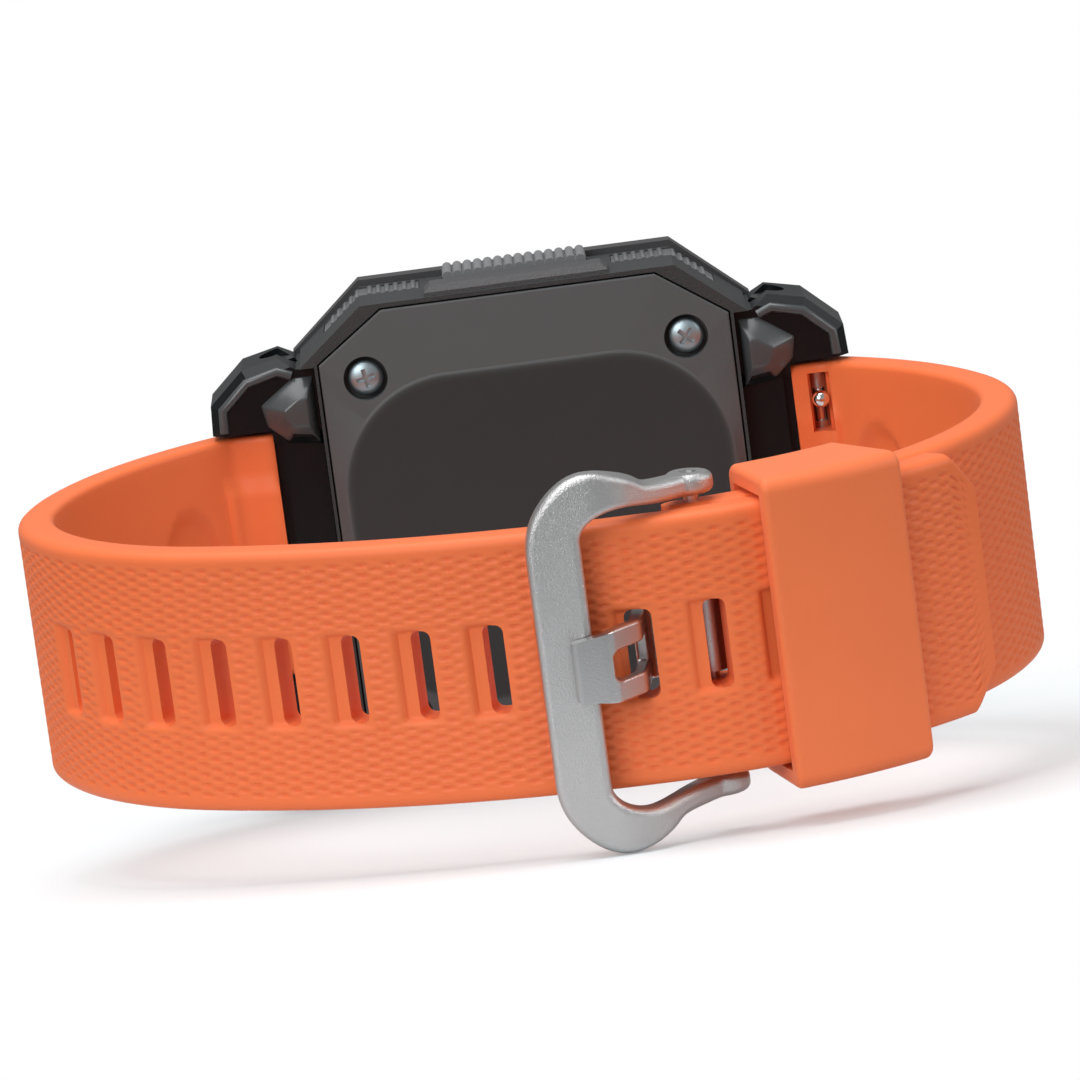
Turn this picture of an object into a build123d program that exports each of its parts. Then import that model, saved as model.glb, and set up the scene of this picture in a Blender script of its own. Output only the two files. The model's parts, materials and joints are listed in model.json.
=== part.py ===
"""Outdoor sports watch on a buckled rubber strap, standing on its side.

Watch frame, millimetres: +X towards 12 o'clock, +Y out through the dial, +Z towards 3 o'clock.
The pieces are made in that frame, then leant and lifted together until the guard on the
9 o'clock side and the buckle both touch the surface z = 0.
"""
from build123d import *
import math
import os

# ---------------------------------------------------------------- driving dimensions
# mid-case, an eight-sided block
strap_half = 9.8  # half the strap's width, shared by the end pieces and the buckle
case_flat_x = 12.5  # end of the long flats at 3 and 9 o'clock
case_half_z = 19.4
case_half_x = 17.9
case_corner_z = 15.0
case_neck_x = 16.7  # half length between the end pieces
case_back_y = -2.7
case_front_y = 7.0
deck_thick = 0.8
bay_radius = 15.0
deck_opening_radius = 14.2

# back cover
cover_flat_x = 10.9
cover_half_z = case_half_z - 0.5
cover_half_x = case_half_x - 1.6
cover_corner_z = 15.1
cover_edge_y = -2.9
cover_inner_y = -1.5
plateau_flat_x = 9.3
plateau_half_z = 13.3
plateau_half_x = 15.4
plateau_corner_z = 7.3
plateau_rise = 0.8
cover_gap = 0.15
screw_x = 12.75
screw_z = 13.7
screw_head_radius = 1.45
screw_head_thick = 0.9
screw_shank_radius = 0.7
screw_length = 4.2
screw_recess_radius = 1.8
screw_seat_y = -2.2

# bezel and crystal
bezel_flat_x = 12.6
bezel_half_z = case_half_z + 0.5
bezel_half_x = case_half_x + 0.6
bezel_corner_z = 14.8
bezel_front_y = 9.9
bezel_chamfer = 1.1
crystal_radius = 15.3
crystal_thick = 1.5
gasket_thick = 0.35
crystal_seat_y = 8.0

# module
module_gap = 0.3
module_back_y = -0.6
display_radius = 13.2
display_thick = 1.0
dial_ring_inner_radius = 12.6
dial_ring_thick = 1.1
web_thick = 0.5
board_thick = 0.8
cell_radius = 10.0
cell_thick = 1.6
cell_x = -2.6
clip_width = 5.0
clip_thick = 0.3
antenna_x = 10.1
antenna_width = 2.2
antenna_half_z = 7.0
buzzer_radius = 6.0
buzzer_thick = 0.3

# guards and buttons
guard_half_x = 7.3
guard_top_z = case_half_z + 0.8
guard_back_y = -2.3
guard_front_y = 1.0
side_guard_half_x = 11.5
side_guard_z = case_half_z + 1.5
guard_chamfer = 0.5
button_travel = 0.7
button_gap = 0.15
main_button_half_x = 5.75
main_button_top_z = case_half_z + 1.2
button_back_y = 1.3
button_front_y = 6.0
cap_height = 2.0
rib_count = 14
small_button_x = 4.4
small_button_half_x = 2.4
small_button_top_z = case_half_z + 0.9
stem_radius = 1.0
stem_fit = 0.05
contact_reach = 0.25  # from a pressed stem to its contact leaf
contact_thick = 0.2

# ribbed grips let into the flank
grip_start_x = 7.7
grip_chamfer_share = 0.6
grip_depth = 0.6
grip_back_y = 2.5
grip_front_y = 6.3
grip_rib_radius = 0.24
grip_rib_pitch = 0.7

# end pieces with their horns
horn_inner_z = strap_half + 0.4
horn_outer_z = horn_inner_z + 5.6
horn_tip_x = 25.45
horn_back_y = -1.5
horn_front_y = 6.0
block_outer_x = 20.7
block_back_y = -1.1
horn_chamfer = 0.9
tab_half_z = strap_half - 0.5
tab_back_y = 0.9
tab_front_y = 4.3
tab_end_gap = 0.25
boss_rise = 0.8
pin_x = 19.6
pin_y = 2.6
pin_recess_radius = 1.5
pin_recess_depth = 0.6
pin_head_radius = 1.25
pin_head_thick = 0.7
pin_shank_radius = 0.6
pin_length = 8.0

# spring bars
bar_x = 22.8
bar_y = 1.6
bar_radius = 0.9
bar_bore_radius = 0.6
bar_half_length = strap_half + 0.1
pivot_radius = 0.5
pivot_reach = 1.3  # into the horn
release_travel = 1.5
lever_z = 6.9
lever_radius = 0.4
knob_radius = 0.7
knob_y = -1.0
fit = 0.05

# strap, wound about the loop's own arcs
strap_thick = 2.8
layer_gap = 0.15
loop_x = 7.0
loop_y = -20.7
tip_outer_radius = 32.8
tip_angle = -42.0
front_radius = 65.0
front_sweep = 32.0
corner_radius = 27.3
corner_sweep = 43.5
side_radius = 19.0
side_sweep = 23.0
inner_sweep = 73.0
wrist_radius = 24.6
wrist_sweep = 34.0
lug_x = 21.9
lug_top_y = 4.0
lug_end_x = 21.0
lug_block_thick = 4.6
tip_corner = 2.4
slot_count = 12
slot_pitch = 5.4
slot_width = 2.0
slot_length = 6.6
slots_past_prong = 2
prong_slot_s = 1.5  # along the face from the loop's lowest point
release_slot_z = (4.3, 9.0)
release_slot_width = 1.3

# buckle
pin_angle = -83.0
buckle_pin_radius = 0.55
bar_outer_x = -1.9
bar_inner_x = 2.1
bar_face_y = -55.8
buckle_thick = 2.1
buckle_half_z = strap_half + 4.2
window_half_z = strap_half + 1.2
lobe_inner_z = strap_half + 0.6
lobe_outer_z = lobe_inner_z + 1.5
lobe_radius = 1.75
buckle_round = 0.55
prong_half = 2.7
prong_tip_half = 2.15
prong_thick = 1.0
prong_barrel_radius = 1.25
prong_window_half = 1.1
prong_round = 0.25
barrel_slot_half = 3.35

# keeper
keeper_angle = -66.0
keeper_length = 11.4
keeper_wall = 1.3
keeper_gap = 0.15
keeper_side_gap = 0.45
keeper_round = 0.5
keeper_corner_round = 1.1

# ---------------------------------------------------------------- derived
inner_outer_radius = tip_outer_radius - strap_thick - layer_gap
pin_orbit = inner_outer_radius - strap_thick / 2
loop_center = (loop_x, loop_y)
pin_axis = (
    loop_x + pin_orbit * math.cos(math.radians(pin_angle)),
    loop_y + pin_orbit * math.sin(math.radians(pin_angle)),
)
display_back_y = case_front_y - deck_thick - dial_ring_thick - display_thick - 0.1
ring_back_y = display_back_y + display_thick + 0.05
board_front_y = display_back_y - web_thick - 0.05
cell_front_y = board_front_y - board_thick - 0.05
cell_back_y = cell_front_y - cell_thick
button_mid_y = (button_back_y + button_front_y) / 2
button_depth_y = button_front_y - button_back_y
pocket_floor_main = main_button_top_z - cap_height - button_travel - 0.1
pocket_floor_small = small_button_top_z - cap_height - button_travel - 0.1
rest_guard = (guard_back_y + guard_chamfer, side_guard_z)
rest_buckle = (bar_face_y + buckle_thick / 2, buckle_half_z)
lean = math.degrees(
    math.atan((rest_guard[1] - rest_buckle[1]) / (rest_guard[0] - rest_buckle[0]))
)


def face_at(y):
    """Plane across the watch at depth y, sketched in X and Z, growing towards the back."""
    return Plane.XZ.offset(-y)


def side_at(z):
    """Plane seen along the strap's width at height z, sketched in X and Y, growing to 3 o'clock."""
    return Plane.XY.offset(z)


def octagon(flat_x, half_z, half_x, corner_z):
    """Corner points of an eight-sided outline, flats at 3, 6, 9 and 12 o'clock."""
    quarter = [(flat_x, half_z), (half_x, corner_z)]
    right = quarter + [(x, -z) for x, z in reversed(quarter)]
    return right + [(-x, z) for x, z in reversed(right)]


def stem_inner(x):
    """Height at which a stem at x ends, just inside the module bay."""
    return math.sqrt(bay_radius**2 - x**2) - 0.1


# ---------------------------------------------------------------- mid-case
with BuildPart() as case_body:
    with BuildSketch(face_at(case_front_y)):
        Polygon(*octagon(case_flat_x, case_half_z, case_half_x, case_corner_z), align=None)
    extrude(amount=case_front_y - case_back_y)
    # necks that take the end pieces
    with BuildSketch(face_at(case_front_y + 1)):
        with Locations((case_neck_x + 5, 0), (-case_neck_x - 5, 0)):
            Rectangle(10, 2 * case_corner_z)
    extrude(amount=case_front_y - case_back_y + 2, mode=Mode.SUBTRACT)
    # lug tabs inside the end pieces
    with BuildSketch(face_at(tab_front_y)):
        Rectangle(2 * (block_outer_x - tab_end_gap), 2 * tab_half_z)
    extrude(amount=tab_front_y - tab_back_y)
    # module bay and the deck above it
    with BuildSketch(face_at(case_front_y - deck_thick)):
        Circle(bay_radius)
    extrude(amount=case_front_y - case_back_y, mode=Mode.SUBTRACT)
    with BuildSketch(face_at(case_front_y)):
        Circle(deck_opening_radius)
    extrude(amount=deck_thick, mode=Mode.SUBTRACT)
    # seat of the back cover, and the groove of its gasket
    with BuildSketch(face_at(cover_inner_y)):
        Polygon(*octagon(cover_flat_x, cover_half_z, cover_half_x, cover_corner_z), align=None)
        offset(amount=cover_gap)
    extrude(amount=cover_inner_y - case_back_y, mode=Mode.SUBTRACT)
    with BuildSketch(face_at(cover_inner_y + 0.6)):
        Circle(bay_radius + 1.1)
        Circle(bay_radius + 0.3, mode=Mode.SUBTRACT)
    extrude(amount=0.6, mode=Mode.SUBTRACT)
    # threaded holes of the back screws
    with BuildSketch(face_at(cover_inner_y + screw_length)):
        with GridLocations(2 * screw_x, 2 * screw_z, 2, 2):
            Circle(screw_shank_radius)
    extrude(amount=screw_length, mode=Mode.SUBTRACT)
    # holes of the end-piece pins in the tabs
    for x in (-pin_x, pin_x):
        for z, grow in ((horn_outer_z, -1), (-horn_outer_z, 1)):
            with BuildSketch(side_at(z)):
                with Locations((x, pin_y)):
                    Circle(pin_shank_radius)
            extrude(amount=grow * pin_length, mode=Mode.SUBTRACT)
    # button pockets and stem bores
    for x, half_x, floor, sign in (
        (0, main_button_half_x, pocket_floor_main, 1),
        (-small_button_x, small_button_half_x, pocket_floor_small, -1),
        (small_button_x, small_button_half_x, pocket_floor_small, -1),
    ):
        with BuildSketch(side_at(sign * floor)):
            with Locations((x, button_mid_y)):
                RectangleRounded(2 * (half_x + button_gap), button_depth_y + 2 * button_gap, 0.5)
        extrude(amount=sign * 6, mode=Mode.SUBTRACT)
        with BuildSketch(side_at(sign * bay_radius * 0.85)):
            with Locations((x, button_mid_y)):
                Circle(stem_radius + stem_fit)
        extrude(amount=sign * 6, mode=Mode.SUBTRACT)
    # seats of the ribbed grips, one in each corner
    with BuildSketch(face_at(grip_front_y)):
        grip_end_x = case_flat_x + grip_chamfer_share * (case_half_x - case_flat_x)
        grip_end_z = case_half_z - grip_chamfer_share * (case_half_z - case_corner_z)
        for sx in (-1, 1):
            for sz in (-1, 1):
                with BuildLine():
                    Polyline(
                        (sx * grip_start_x, sz * (case_half_z + 1)),
                        (sx * grip_start_x, sz * (case_half_z - grip_depth)),
                        (sx * (case_flat_x - 0.25), sz * (case_half_z - grip_depth)),
                        (sx * (grip_end_x - 0.38), sz * (grip_end_z - 0.46)),
                        (sx * (grip_end_x + 0.6), sz * (grip_end_z + 0.75)),
                        (sx * (case_flat_x + 0.4), sz * (case_half_z + 1)),
                        close=True,
                    )
                make_face()
    extrude(amount=grip_front_y - grip_back_y, mode=Mode.SUBTRACT)

with BuildPart() as side_grips:
    chamfer_run = Vector(case_half_x - case_flat_x, 0, case_corner_z - case_half_z)
    chamfer_length = chamfer_run.length
    with BuildSketch(face_at(grip_front_y - fit)):
        for sx in (-1, 1):
            for sz in (-1, 1):
                with BuildLine():
                    Polyline(
                        (sx * (grip_start_x + fit), sz * (case_half_z - 0.1)),
                        (sx * (grip_start_x + fit), sz * (case_half_z - grip_depth + fit)),
                        (sx * (case_flat_x - 0.2), sz * (case_half_z - grip_depth + fit)),
                        (sx * (grip_end_x - 0.4), sz * (grip_end_z - 0.34)),
                        (sx * (grip_end_x - 0.1), sz * (grip_end_z + 0.02)),
                        (sx * case_flat_x, sz * (case_half_z - 0.1)),
                        close=True,
                    )
                make_face()
                flat_ribs = int((case_flat_x - grip_start_x) / grip_rib_pitch)
                for i in range(flat_ribs):
                    with Locations((sx * (grip_start_x + 0.5 + i * grip_rib_pitch), sz * (case_half_z - 0.15))):
                        Circle(grip_rib_radius)
                slope_ribs = int(grip_chamfer_share * chamfer_length / grip_rib_pitch)
                for i in range(slope_ribs):
                    share = (0.35 + i * grip_rib_pitch) / chamfer_length
                    x = case_flat_x + share * (case_half_x - case_flat_x) - 0.1
                    z = case_half_z + share * (case_corner_z - case_half_z) - 0.12
                    with Locations((sx * x, sz * z)):
                        Circle(grip_rib_radius)
    extrude(amount=grip_front_y - grip_back_y - 2 * fit)

# ---------------------------------------------------------------- bezel, crystal, dial
with BuildPart() as bezel:
    with BuildSketch(face_at(bezel_front_y)):
        Polygon(*octagon(bezel_flat_x, bezel_half_z, bezel_half_x, bezel_corner_z), align=None)
    extrude(amount=bezel_front_y - case_front_y)
    chamfer(bezel.faces().sort_by(Axis.Y)[-1].edges(), length=bezel_chamfer)
    with BuildSketch(face_at(bezel_front_y)):
        Circle(deck_opening_radius)
    extrude(amount=bezel_front_y - case_front_y, mode=Mode.SUBTRACT)
    with BuildSketch(face_at(bezel_front_y)):
        Circle(crystal_radius + gasket_thick + 2 * fit)
    extrude(amount=bezel_front_y - crystal_seat_y, mode=Mode.SUBTRACT)
    # grip notches at the hours on the front face
    with BuildSketch(face_at(bezel_front_y)):
        with PolarLocations(crystal_radius + 1.6, 12, start_angle=15):
            SlotOverall(1.6, 0.5)
    extrude(amount=0.35, mode=Mode.SUBTRACT)

with BuildPart() as crystal:
    with BuildSketch(face_at(crystal_seat_y + crystal_thick)):
        Circle(crystal_radius)
    extrude(amount=crystal_thick)
    chamfer(crystal.faces().sort_by(Axis.Y)[-1].edges(), length=0.3)

with BuildPart() as crystal_gasket:
    with BuildSketch(face_at(crystal_seat_y + crystal_thick - 0.2)):
        Circle(crystal_radius + fit + gasket_thick)
        Circle(crystal_radius + fit, mode=Mode.SUBTRACT)
    extrude(amount=crystal_thick - 0.2)

with BuildPart() as dial_ring:
    with BuildSketch(face_at(ring_back_y + dial_ring_thick)):
        Circle(bay_radius - module_gap)
        Circle(dial_ring_inner_radius, mode=Mode.SUBTRACT)
    extrude(amount=dial_ring_thick)
    # minute ticks, long ones at the hours
    with BuildSketch(face_at(ring_back_y + dial_ring_thick)):
        with PolarLocations(dial_ring_inner_radius + 0.7, 60):
            Rectangle(0.7, 0.18)
        with PolarLocations(dial_ring_inner_radius + 0.8, 12):
            Rectangle(1.0, 0.5)
    extrude(amount=0.15, mode=Mode.SUBTRACT)

with BuildPart() as lcd_panel:
    with BuildSketch(face_at(display_back_y + display_thick)):
        Circle(display_radius)
    extrude(amount=display_thick)

# ---------------------------------------------------------------- module
with BuildPart() as module_frame:
    with BuildSketch(face_at(display_back_y + display_thick)):
        Circle(bay_radius - module_gap)
    extrude(amount=display_back_y + display_thick - module_back_y)
    with BuildSketch(face_at(display_back_y + display_thick)):
        Circle(display_radius + fit)
    extrude(amount=display_thick, mode=Mode.SUBTRACT)
    with BuildSketch(face_at(display_back_y - web_thick)):
        Circle(display_radius)
    extrude(amount=display_back_y - web_thick - module_back_y, mode=Mode.SUBTRACT)
    # notches where the stems and contact leaves work
    with BuildSketch(face_at(board_front_y + 0.1)):
        with Locations((0, bay_radius)):
            Rectangle(7, 4.4)
        with Locations((0, -bay_radius)):
            Rectangle(4 * small_button_x - 1.6, 6.0)
    extrude(amount=board_front_y - module_back_y + 1, mode=Mode.SUBTRACT)
    with BuildSketch(face_at(display_back_y + display_thick)):
        with Locations((0, bay_radius)):
            Rectangle(2.6, 3.0)
        with Locations((-small_button_x, -bay_radius), (small_button_x, -bay_radius)):
            Rectangle(2.6, 4.2)
    extrude(amount=display_thick + web_thick + 1, mode=Mode.SUBTRACT)

with BuildPart() as circuit_board:
    with BuildSketch(face_at(board_front_y)):
        Circle(display_radius - 0.3)
        with Locations((0, bay_radius)):
            Rectangle(8, 5.4, mode=Mode.SUBTRACT)
        with Locations((0, -bay_radius)):
            Rectangle(4 * small_button_x, 7.2, mode=Mode.SUBTRACT)
    extrude(amount=board_thick)
    # controller and two small parts beside the cell
    with BuildSketch(face_at(board_front_y - board_thick)):
        with Locations((antenna_x - 2.3, antenna_half_z + 1.4)):
            Rectangle(1.8, 1.6)
        with Locations((antenna_x - 2.3, -antenna_half_z - 1.4)):
            Rectangle(1.8, 1.2)
    extrude(amount=0.7)

with BuildPart() as coin_cell:
    with BuildSketch(face_at(cell_front_y)):
        with Locations((cell_x, 0)):
            Circle(cell_radius)
    extrude(amount=cell_thick)
    chamfer(coin_cell.faces().sort_by(Axis.Y)[0].edges(), length=0.25)

with BuildPart() as cell_clip:
    clip_half_x = cell_radius + 0.3
    with BuildSketch(side_at(-clip_width / 2)):
        with BuildLine():
            Polyline(
                (cell_x - clip_half_x, cell_front_y),
                (cell_x - clip_half_x, cell_back_y - clip_thick),
                (cell_x + clip_half_x, cell_back_y - clip_thick),
                (cell_x + clip_half_x, cell_front_y),
                (cell_x + clip_half_x - 0.25, cell_front_y),
                (cell_x + clip_half_x - 0.25, cell_back_y - 0.04),
                (cell_x - clip_half_x + 0.25, cell_back_y - 0.04),
                (cell_x - clip_half_x + 0.25, cell_front_y),
                close=True,
            )
        make_face()
    extrude(amount=clip_width)

with BuildPart() as antenna:
    antenna_front_y = cell_front_y - 0.2
    with BuildSketch(face_at(antenna_front_y)):
        with Locations((antenna_x, 0)):
            Rectangle(antenna_width - 0.6, 2 * antenna_half_z)
    extrude(amount=1.4)
    with BuildSketch(face_at(antenna_front_y + 0.2)):
        with Locations((antenna_x, 0)):
            Rectangle(antenna_width, 2 * antenna_half_z - 3)
    extrude(amount=1.8)

with BuildPart() as contact_springs:
    for x, sign, foot_z in (
        (0, 1, 11.3),
        (-small_button_x, -1, 10.4),
        (small_button_x, -1, 10.4),
    ):
        leaf_z = stem_inner(x) - button_travel - contact_reach
        board_back_y = board_front_y - board_thick
        with BuildSketch(side_at(sign * leaf_z)):
            with Locations((x, (button_mid_y + 1 + board_back_y) / 2)):
                Rectangle(1.6, button_mid_y + 1 - board_back_y + 2 * contact_thick)
        extrude(amount=-sign * contact_thick)
        # foot soldered to the back of the board
        with BuildSketch(face_at(board_back_y - fit / 2)):
            with Locations((x, sign * (leaf_z + foot_z) / 2)):
                Rectangle(1.6, leaf_z - foot_z)
        extrude(amount=contact_thick - fit / 2)

with BuildPart() as piezo_buzzer:
    with BuildSketch(face_at(cover_inner_y + buzzer_thick + 0.02)):
        Circle(buzzer_radius)
    extrude(amount=buzzer_thick)

# ---------------------------------------------------------------- back
with BuildPart() as back_cover:
    with BuildSketch(face_at(cover_inner_y)):
        Polygon(*octagon(cover_flat_x, cover_half_z, cover_half_x, cover_corner_z), align=None)
    extrude(amount=cover_inner_y - cover_edge_y)
    with BuildSketch(face_at(cover_edge_y)):
        Polygon(*octagon(cover_flat_x, cover_half_z, cover_half_x, cover_corner_z), align=None)
    with BuildSketch(face_at(cover_edge_y - plateau_rise)):
        Polygon(*octagon(plateau_flat_x, plateau_half_z, plateau_half_x, plateau_corner_z), align=None)
    loft(ruled=True)
    with BuildSketch(face_at(screw_seat_y)):
        with GridLocations(2 * screw_x, 2 * screw_z, 2, 2):
            Circle(screw_recess_radius)
    extrude(amount=3, mode=Mode.SUBTRACT)
    with BuildSketch(face_at(cover_inner_y)):
        with GridLocations(2 * screw_x, 2 * screw_z, 2, 2):
            Circle(screw_shank_radius + fit)
    extrude(amount=3, mode=Mode.SUBTRACT)

with BuildPart() as back_gasket:
    with BuildSketch(face_at(cover_inner_y + 0.55)):
        Circle(bay_radius + 1.05)
        Circle(bay_radius + 0.35, mode=Mode.SUBTRACT)
    extrude(amount=0.53)

with BuildPart() as back_screws:
    with BuildSketch(face_at(screw_seat_y)):
        with GridLocations(2 * screw_x, 2 * screw_z, 2, 2):
            Circle(screw_head_radius)
    extrude(amount=screw_head_thick)
    fillet(back_screws.faces().group_by(Axis.Y)[0].edges(), radius=0.45)
    # cross recess
    with BuildSketch(face_at(screw_seat_y - screw_head_thick + 0.5)):
        with GridLocations(2 * screw_x, 2 * screw_z, 2, 2):
            with Locations(Rotation(0, 0, 35)):
                Rectangle(1.9, 0.34)
                Rectangle(0.34, 1.9)
    extrude(amount=1, mode=Mode.SUBTRACT)
    with BuildSketch(face_at(screw_seat_y)):
        with GridLocations(2 * screw_x, 2 * screw_z, 2, 2):
            Circle(screw_shank_radius)
    extrude(amount=-(cover_inner_y - screw_seat_y) - screw_length + 0.5)

# ---------------------------------------------------------------- guards and buttons
with BuildPart() as button_guard:
    with BuildSketch(side_at(case_half_z)):
        with Locations((0, (guard_back_y + guard_front_y) / 2)):
            Rectangle(2 * guard_half_x, guard_front_y - guard_back_y)
    extrude(amount=guard_top_z - case_half_z)
    chamfer(button_guard.faces().sort_by(Axis.Z)[-1].edges(), length=guard_chamfer)

with BuildPart() as side_guard:
    with BuildSketch(side_at(-case_half_z)):
        with Locations((0, (guard_back_y + guard_front_y) / 2)):
            Rectangle(2 * side_guard_half_x, guard_front_y - guard_back_y)
    extrude(amount=-(side_guard_z - case_half_z))
    chamfer(side_guard.faces().sort_by(Axis.Z)[0].edges(), length=guard_chamfer)

with BuildPart() as main_button:
    rib_pitch = 2 * main_button_half_x / rib_count
    rib_radius = rib_pitch / 2 - 0.03
    cap_bottom = main_button_top_z - cap_height
    with BuildSketch(side_at(cap_bottom)):
        with Locations((0, button_mid_y)):
            RectangleRounded(2 * main_button_half_x, button_depth_y, 0.45)
    extrude(amount=cap_height - rib_radius)
    with BuildSketch(face_at(button_front_y)):
        with Locations((0, main_button_top_z - rib_radius)):
            with GridLocations(rib_pitch, 1, rib_count, 1):
                Circle(rib_radius)
    extrude(amount=button_depth_y)
    with BuildSketch(side_at(cap_bottom)):
        with Locations((0, button_mid_y)):
            Circle(stem_radius)
    extrude(amount=-(cap_bottom - stem_inner(0)))


def make_small_button(x):
    """One of the two push buttons at 9 o'clock, its cap behind the guard."""
    bottom = small_button_top_z - cap_height
    with BuildPart() as button:
        with BuildSketch(side_at(-bottom)):
            with Locations((x, button_mid_y)):
                RectangleRounded(2 * small_button_half_x, button_depth_y, 0.45)
        extrude(amount=-cap_height)
        fillet(button.faces().sort_by(Axis.Z)[0].edges(), radius=0.35)
        with BuildSketch(side_at(-bottom)):
            with Locations((x, button_mid_y)):
                Circle(stem_radius)
        extrude(amount=bottom - stem_inner(x))
    return button


mode_button = make_small_button(-small_button_x)
set_button = make_small_button(small_button_x)


# ---------------------------------------------------------------- end pieces
def make_end_piece(side):
    """Horned end piece at 12 o'clock (side 1) or 6 o'clock (side -1)."""
    neck = case_neck_x + 0.1
    half = [
        (neck, case_corner_z - 0.15),
        (case_half_x + 0.3, case_corner_z - 0.15),
        (19.6, horn_outer_z),
        (22.5, horn_outer_z - 0.65),
        (25.3, horn_outer_z - 3.2),
        (horn_tip_x, horn_inner_z),
        (block_outer_x, horn_inner_z),
    ]
    outline = [(side * x, z) for x, z in half]
    outline += [(side * x, -z) for x, z in reversed(half)]
    with BuildPart() as piece:
        with BuildSketch(face_at(horn_front_y)):
            with BuildLine():
                Polyline(*outline, close=True)
            make_face()
        extrude(amount=horn_front_y - horn_back_y)
        # bevels along the horns' outer edges, back and front
        rims = piece.edges().filter_by(
            lambda e: abs(e.center().X) > 20
            and abs(e.center().Z) > horn_inner_z + 0.2
            and abs(e.tangent_at(0.5).Y) < 0.1
        )
        chamfer(rims, length=horn_chamfer)
        # lower middle between the horns
        with BuildSketch(face_at(block_back_y)):
            with Locations((side * (neck + block_outer_x) / 2, 0)):
                Rectangle(block_outer_x - neck + 1, 2 * horn_inner_z - 0.8)
        extrude(amount=1, mode=Mode.SUBTRACT)
        # ledge along the strap's edge of the middle
        with BuildSketch(face_at(block_back_y + 0.7)):
            with Locations((side * block_outer_x, 0)):
                Rectangle(1.4, 2 * horn_inner_z - 2)
        extrude(amount=2, mode=Mode.SUBTRACT)
        # faceted bosses beside the case
        for end in (-1, 1):
            with BuildSketch(face_at(block_back_y)):
                with BuildLine():
                    Polyline(
                        (side * neck, end * 13.7),
                        (side * 18.9, end * 14.0),
                        (side * 20.4, end * 12.1),
                        (side * 19.6, end * 9.0),
                        (side * neck, end * 8.6),
                        close=True,
                    )
                make_face()
            extrude(amount=horn_back_y - block_back_y + boss_rise + 0.8, taper=32)
        # window for the lug tab
        with BuildSketch(face_at(tab_front_y + 0.1)):
            with Locations((side * (neck + block_outer_x) / 2, 0)):
                Rectangle(block_outer_x - neck + 1, 2 * tab_half_z + 0.2)
        extrude(amount=tab_front_y - tab_back_y + 0.2, mode=Mode.SUBTRACT)
        for end in (-1, 1):
            # recess and hole of the pin
            with BuildSketch(side_at(end * horn_outer_z)):
                with Locations((side * pin_x, pin_y)):
                    Circle(pin_recess_radius)
            extrude(amount=-end * (pin_recess_depth + pin_head_thick), mode=Mode.SUBTRACT)
            with BuildSketch(side_at(end * horn_outer_z)):
                with Locations((side * pin_x, pin_y)):
                    Circle(pin_shank_radius + fit)
            extrude(amount=-end * 7, mode=Mode.SUBTRACT)
            # blind hole of the spring bar's pivot
            with BuildSketch(side_at(end * (horn_inner_z - 0.5))):
                with Locations((side * bar_x, bar_y)):
                    Circle(pivot_radius + fit)
            extrude(amount=end * (pivot_reach + 0.8), mode=Mode.SUBTRACT)
    return piece


end_piece_12 = make_end_piece(1)
end_piece_6 = make_end_piece(-1)

with BuildPart() as end_piece_pins:
    for x in (-pin_x, pin_x):
        for end in (-1, 1):
            head_bottom = horn_outer_z - pin_recess_depth - pin_head_thick
            with BuildSketch(side_at(end * head_bottom)):
                with Locations((x, pin_y)):
                    Circle(pin_head_radius)
                    RegularPolygon(0.55, 6, mode=Mode.SUBTRACT)
            extrude(amount=end * pin_head_thick)
            with BuildSketch(side_at(end * (head_bottom + 0.3))):
                with Locations((x, pin_y)):
                    Circle(pin_shank_radius)
            extrude(amount=-end * (pin_length - pin_recess_depth - pin_head_thick))


# ---------------------------------------------------------------- spring bars
def make_spring_bar(side):
    """Tube with one fixed pivot, bored and slotted for the sliding pivot."""
    with BuildPart() as tube:
        with BuildSketch(side_at(-side * bar_half_length)):
            with Locations((side * bar_x, bar_y)):
                Circle(bar_radius)
        extrude(amount=side * 2 * bar_half_length)
        with BuildSketch(side_at(-side * (horn_inner_z + pivot_reach))):
            with Locations((side * bar_x, bar_y)):
                Circle(pivot_radius)
        extrude(amount=side * 3)
        with BuildSketch(side_at(side * 1.5)):
            with Locations((side * bar_x, bar_y)):
                Circle(bar_bore_radius)
        extrude(amount=side * 10, mode=Mode.SUBTRACT)
        with BuildSketch(face_at(bar_y)):
            with Locations((side * bar_x, side * (lever_z - release_travel / 2))):
                Rectangle(2 * lever_radius + 0.15, release_travel + 2 * lever_radius + 0.4)
        extrude(amount=2, mode=Mode.SUBTRACT)
    return tube


def make_release_pin(side):
    """Sliding pivot with the lever and knob that a fingernail draws back."""
    with BuildPart() as pin:
        with BuildSketch(side_at(side * (lever_z - 2.5))):
            with Locations((side * bar_x, bar_y)):
                Circle(pivot_radius)
        extrude(amount=side * (horn_inner_z + pivot_reach - lever_z + 2.5))
        with BuildSketch(face_at(bar_y)):
            with Locations((side * bar_x, side * lever_z)):
                Circle(lever_radius)
        extrude(amount=bar_y - knob_y)
        with Locations((side * bar_x, knob_y, side * lever_z)):
            Sphere(knob_radius)
    return pin


spring_bar_12 = make_spring_bar(1)
spring_bar_6 = make_spring_bar(-1)
release_pin_12 = make_release_pin(1)
release_pin_6 = make_release_pin(-1)


# ---------------------------------------------------------------- strap
def along(edges, distance):
    """Plane on a chain of edges at a distance from its start, facing out of the loop."""
    for edge in edges:
        if distance <= edge.length:
            break
        distance -= edge.length
    point = edge.position_at(distance / edge.length)
    tangent = edge.tangent_at(distance / edge.length)
    return Plane(origin=point, x_dir=tangent, z_dir=Vector(0, 0, 1).cross(tangent))


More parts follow.
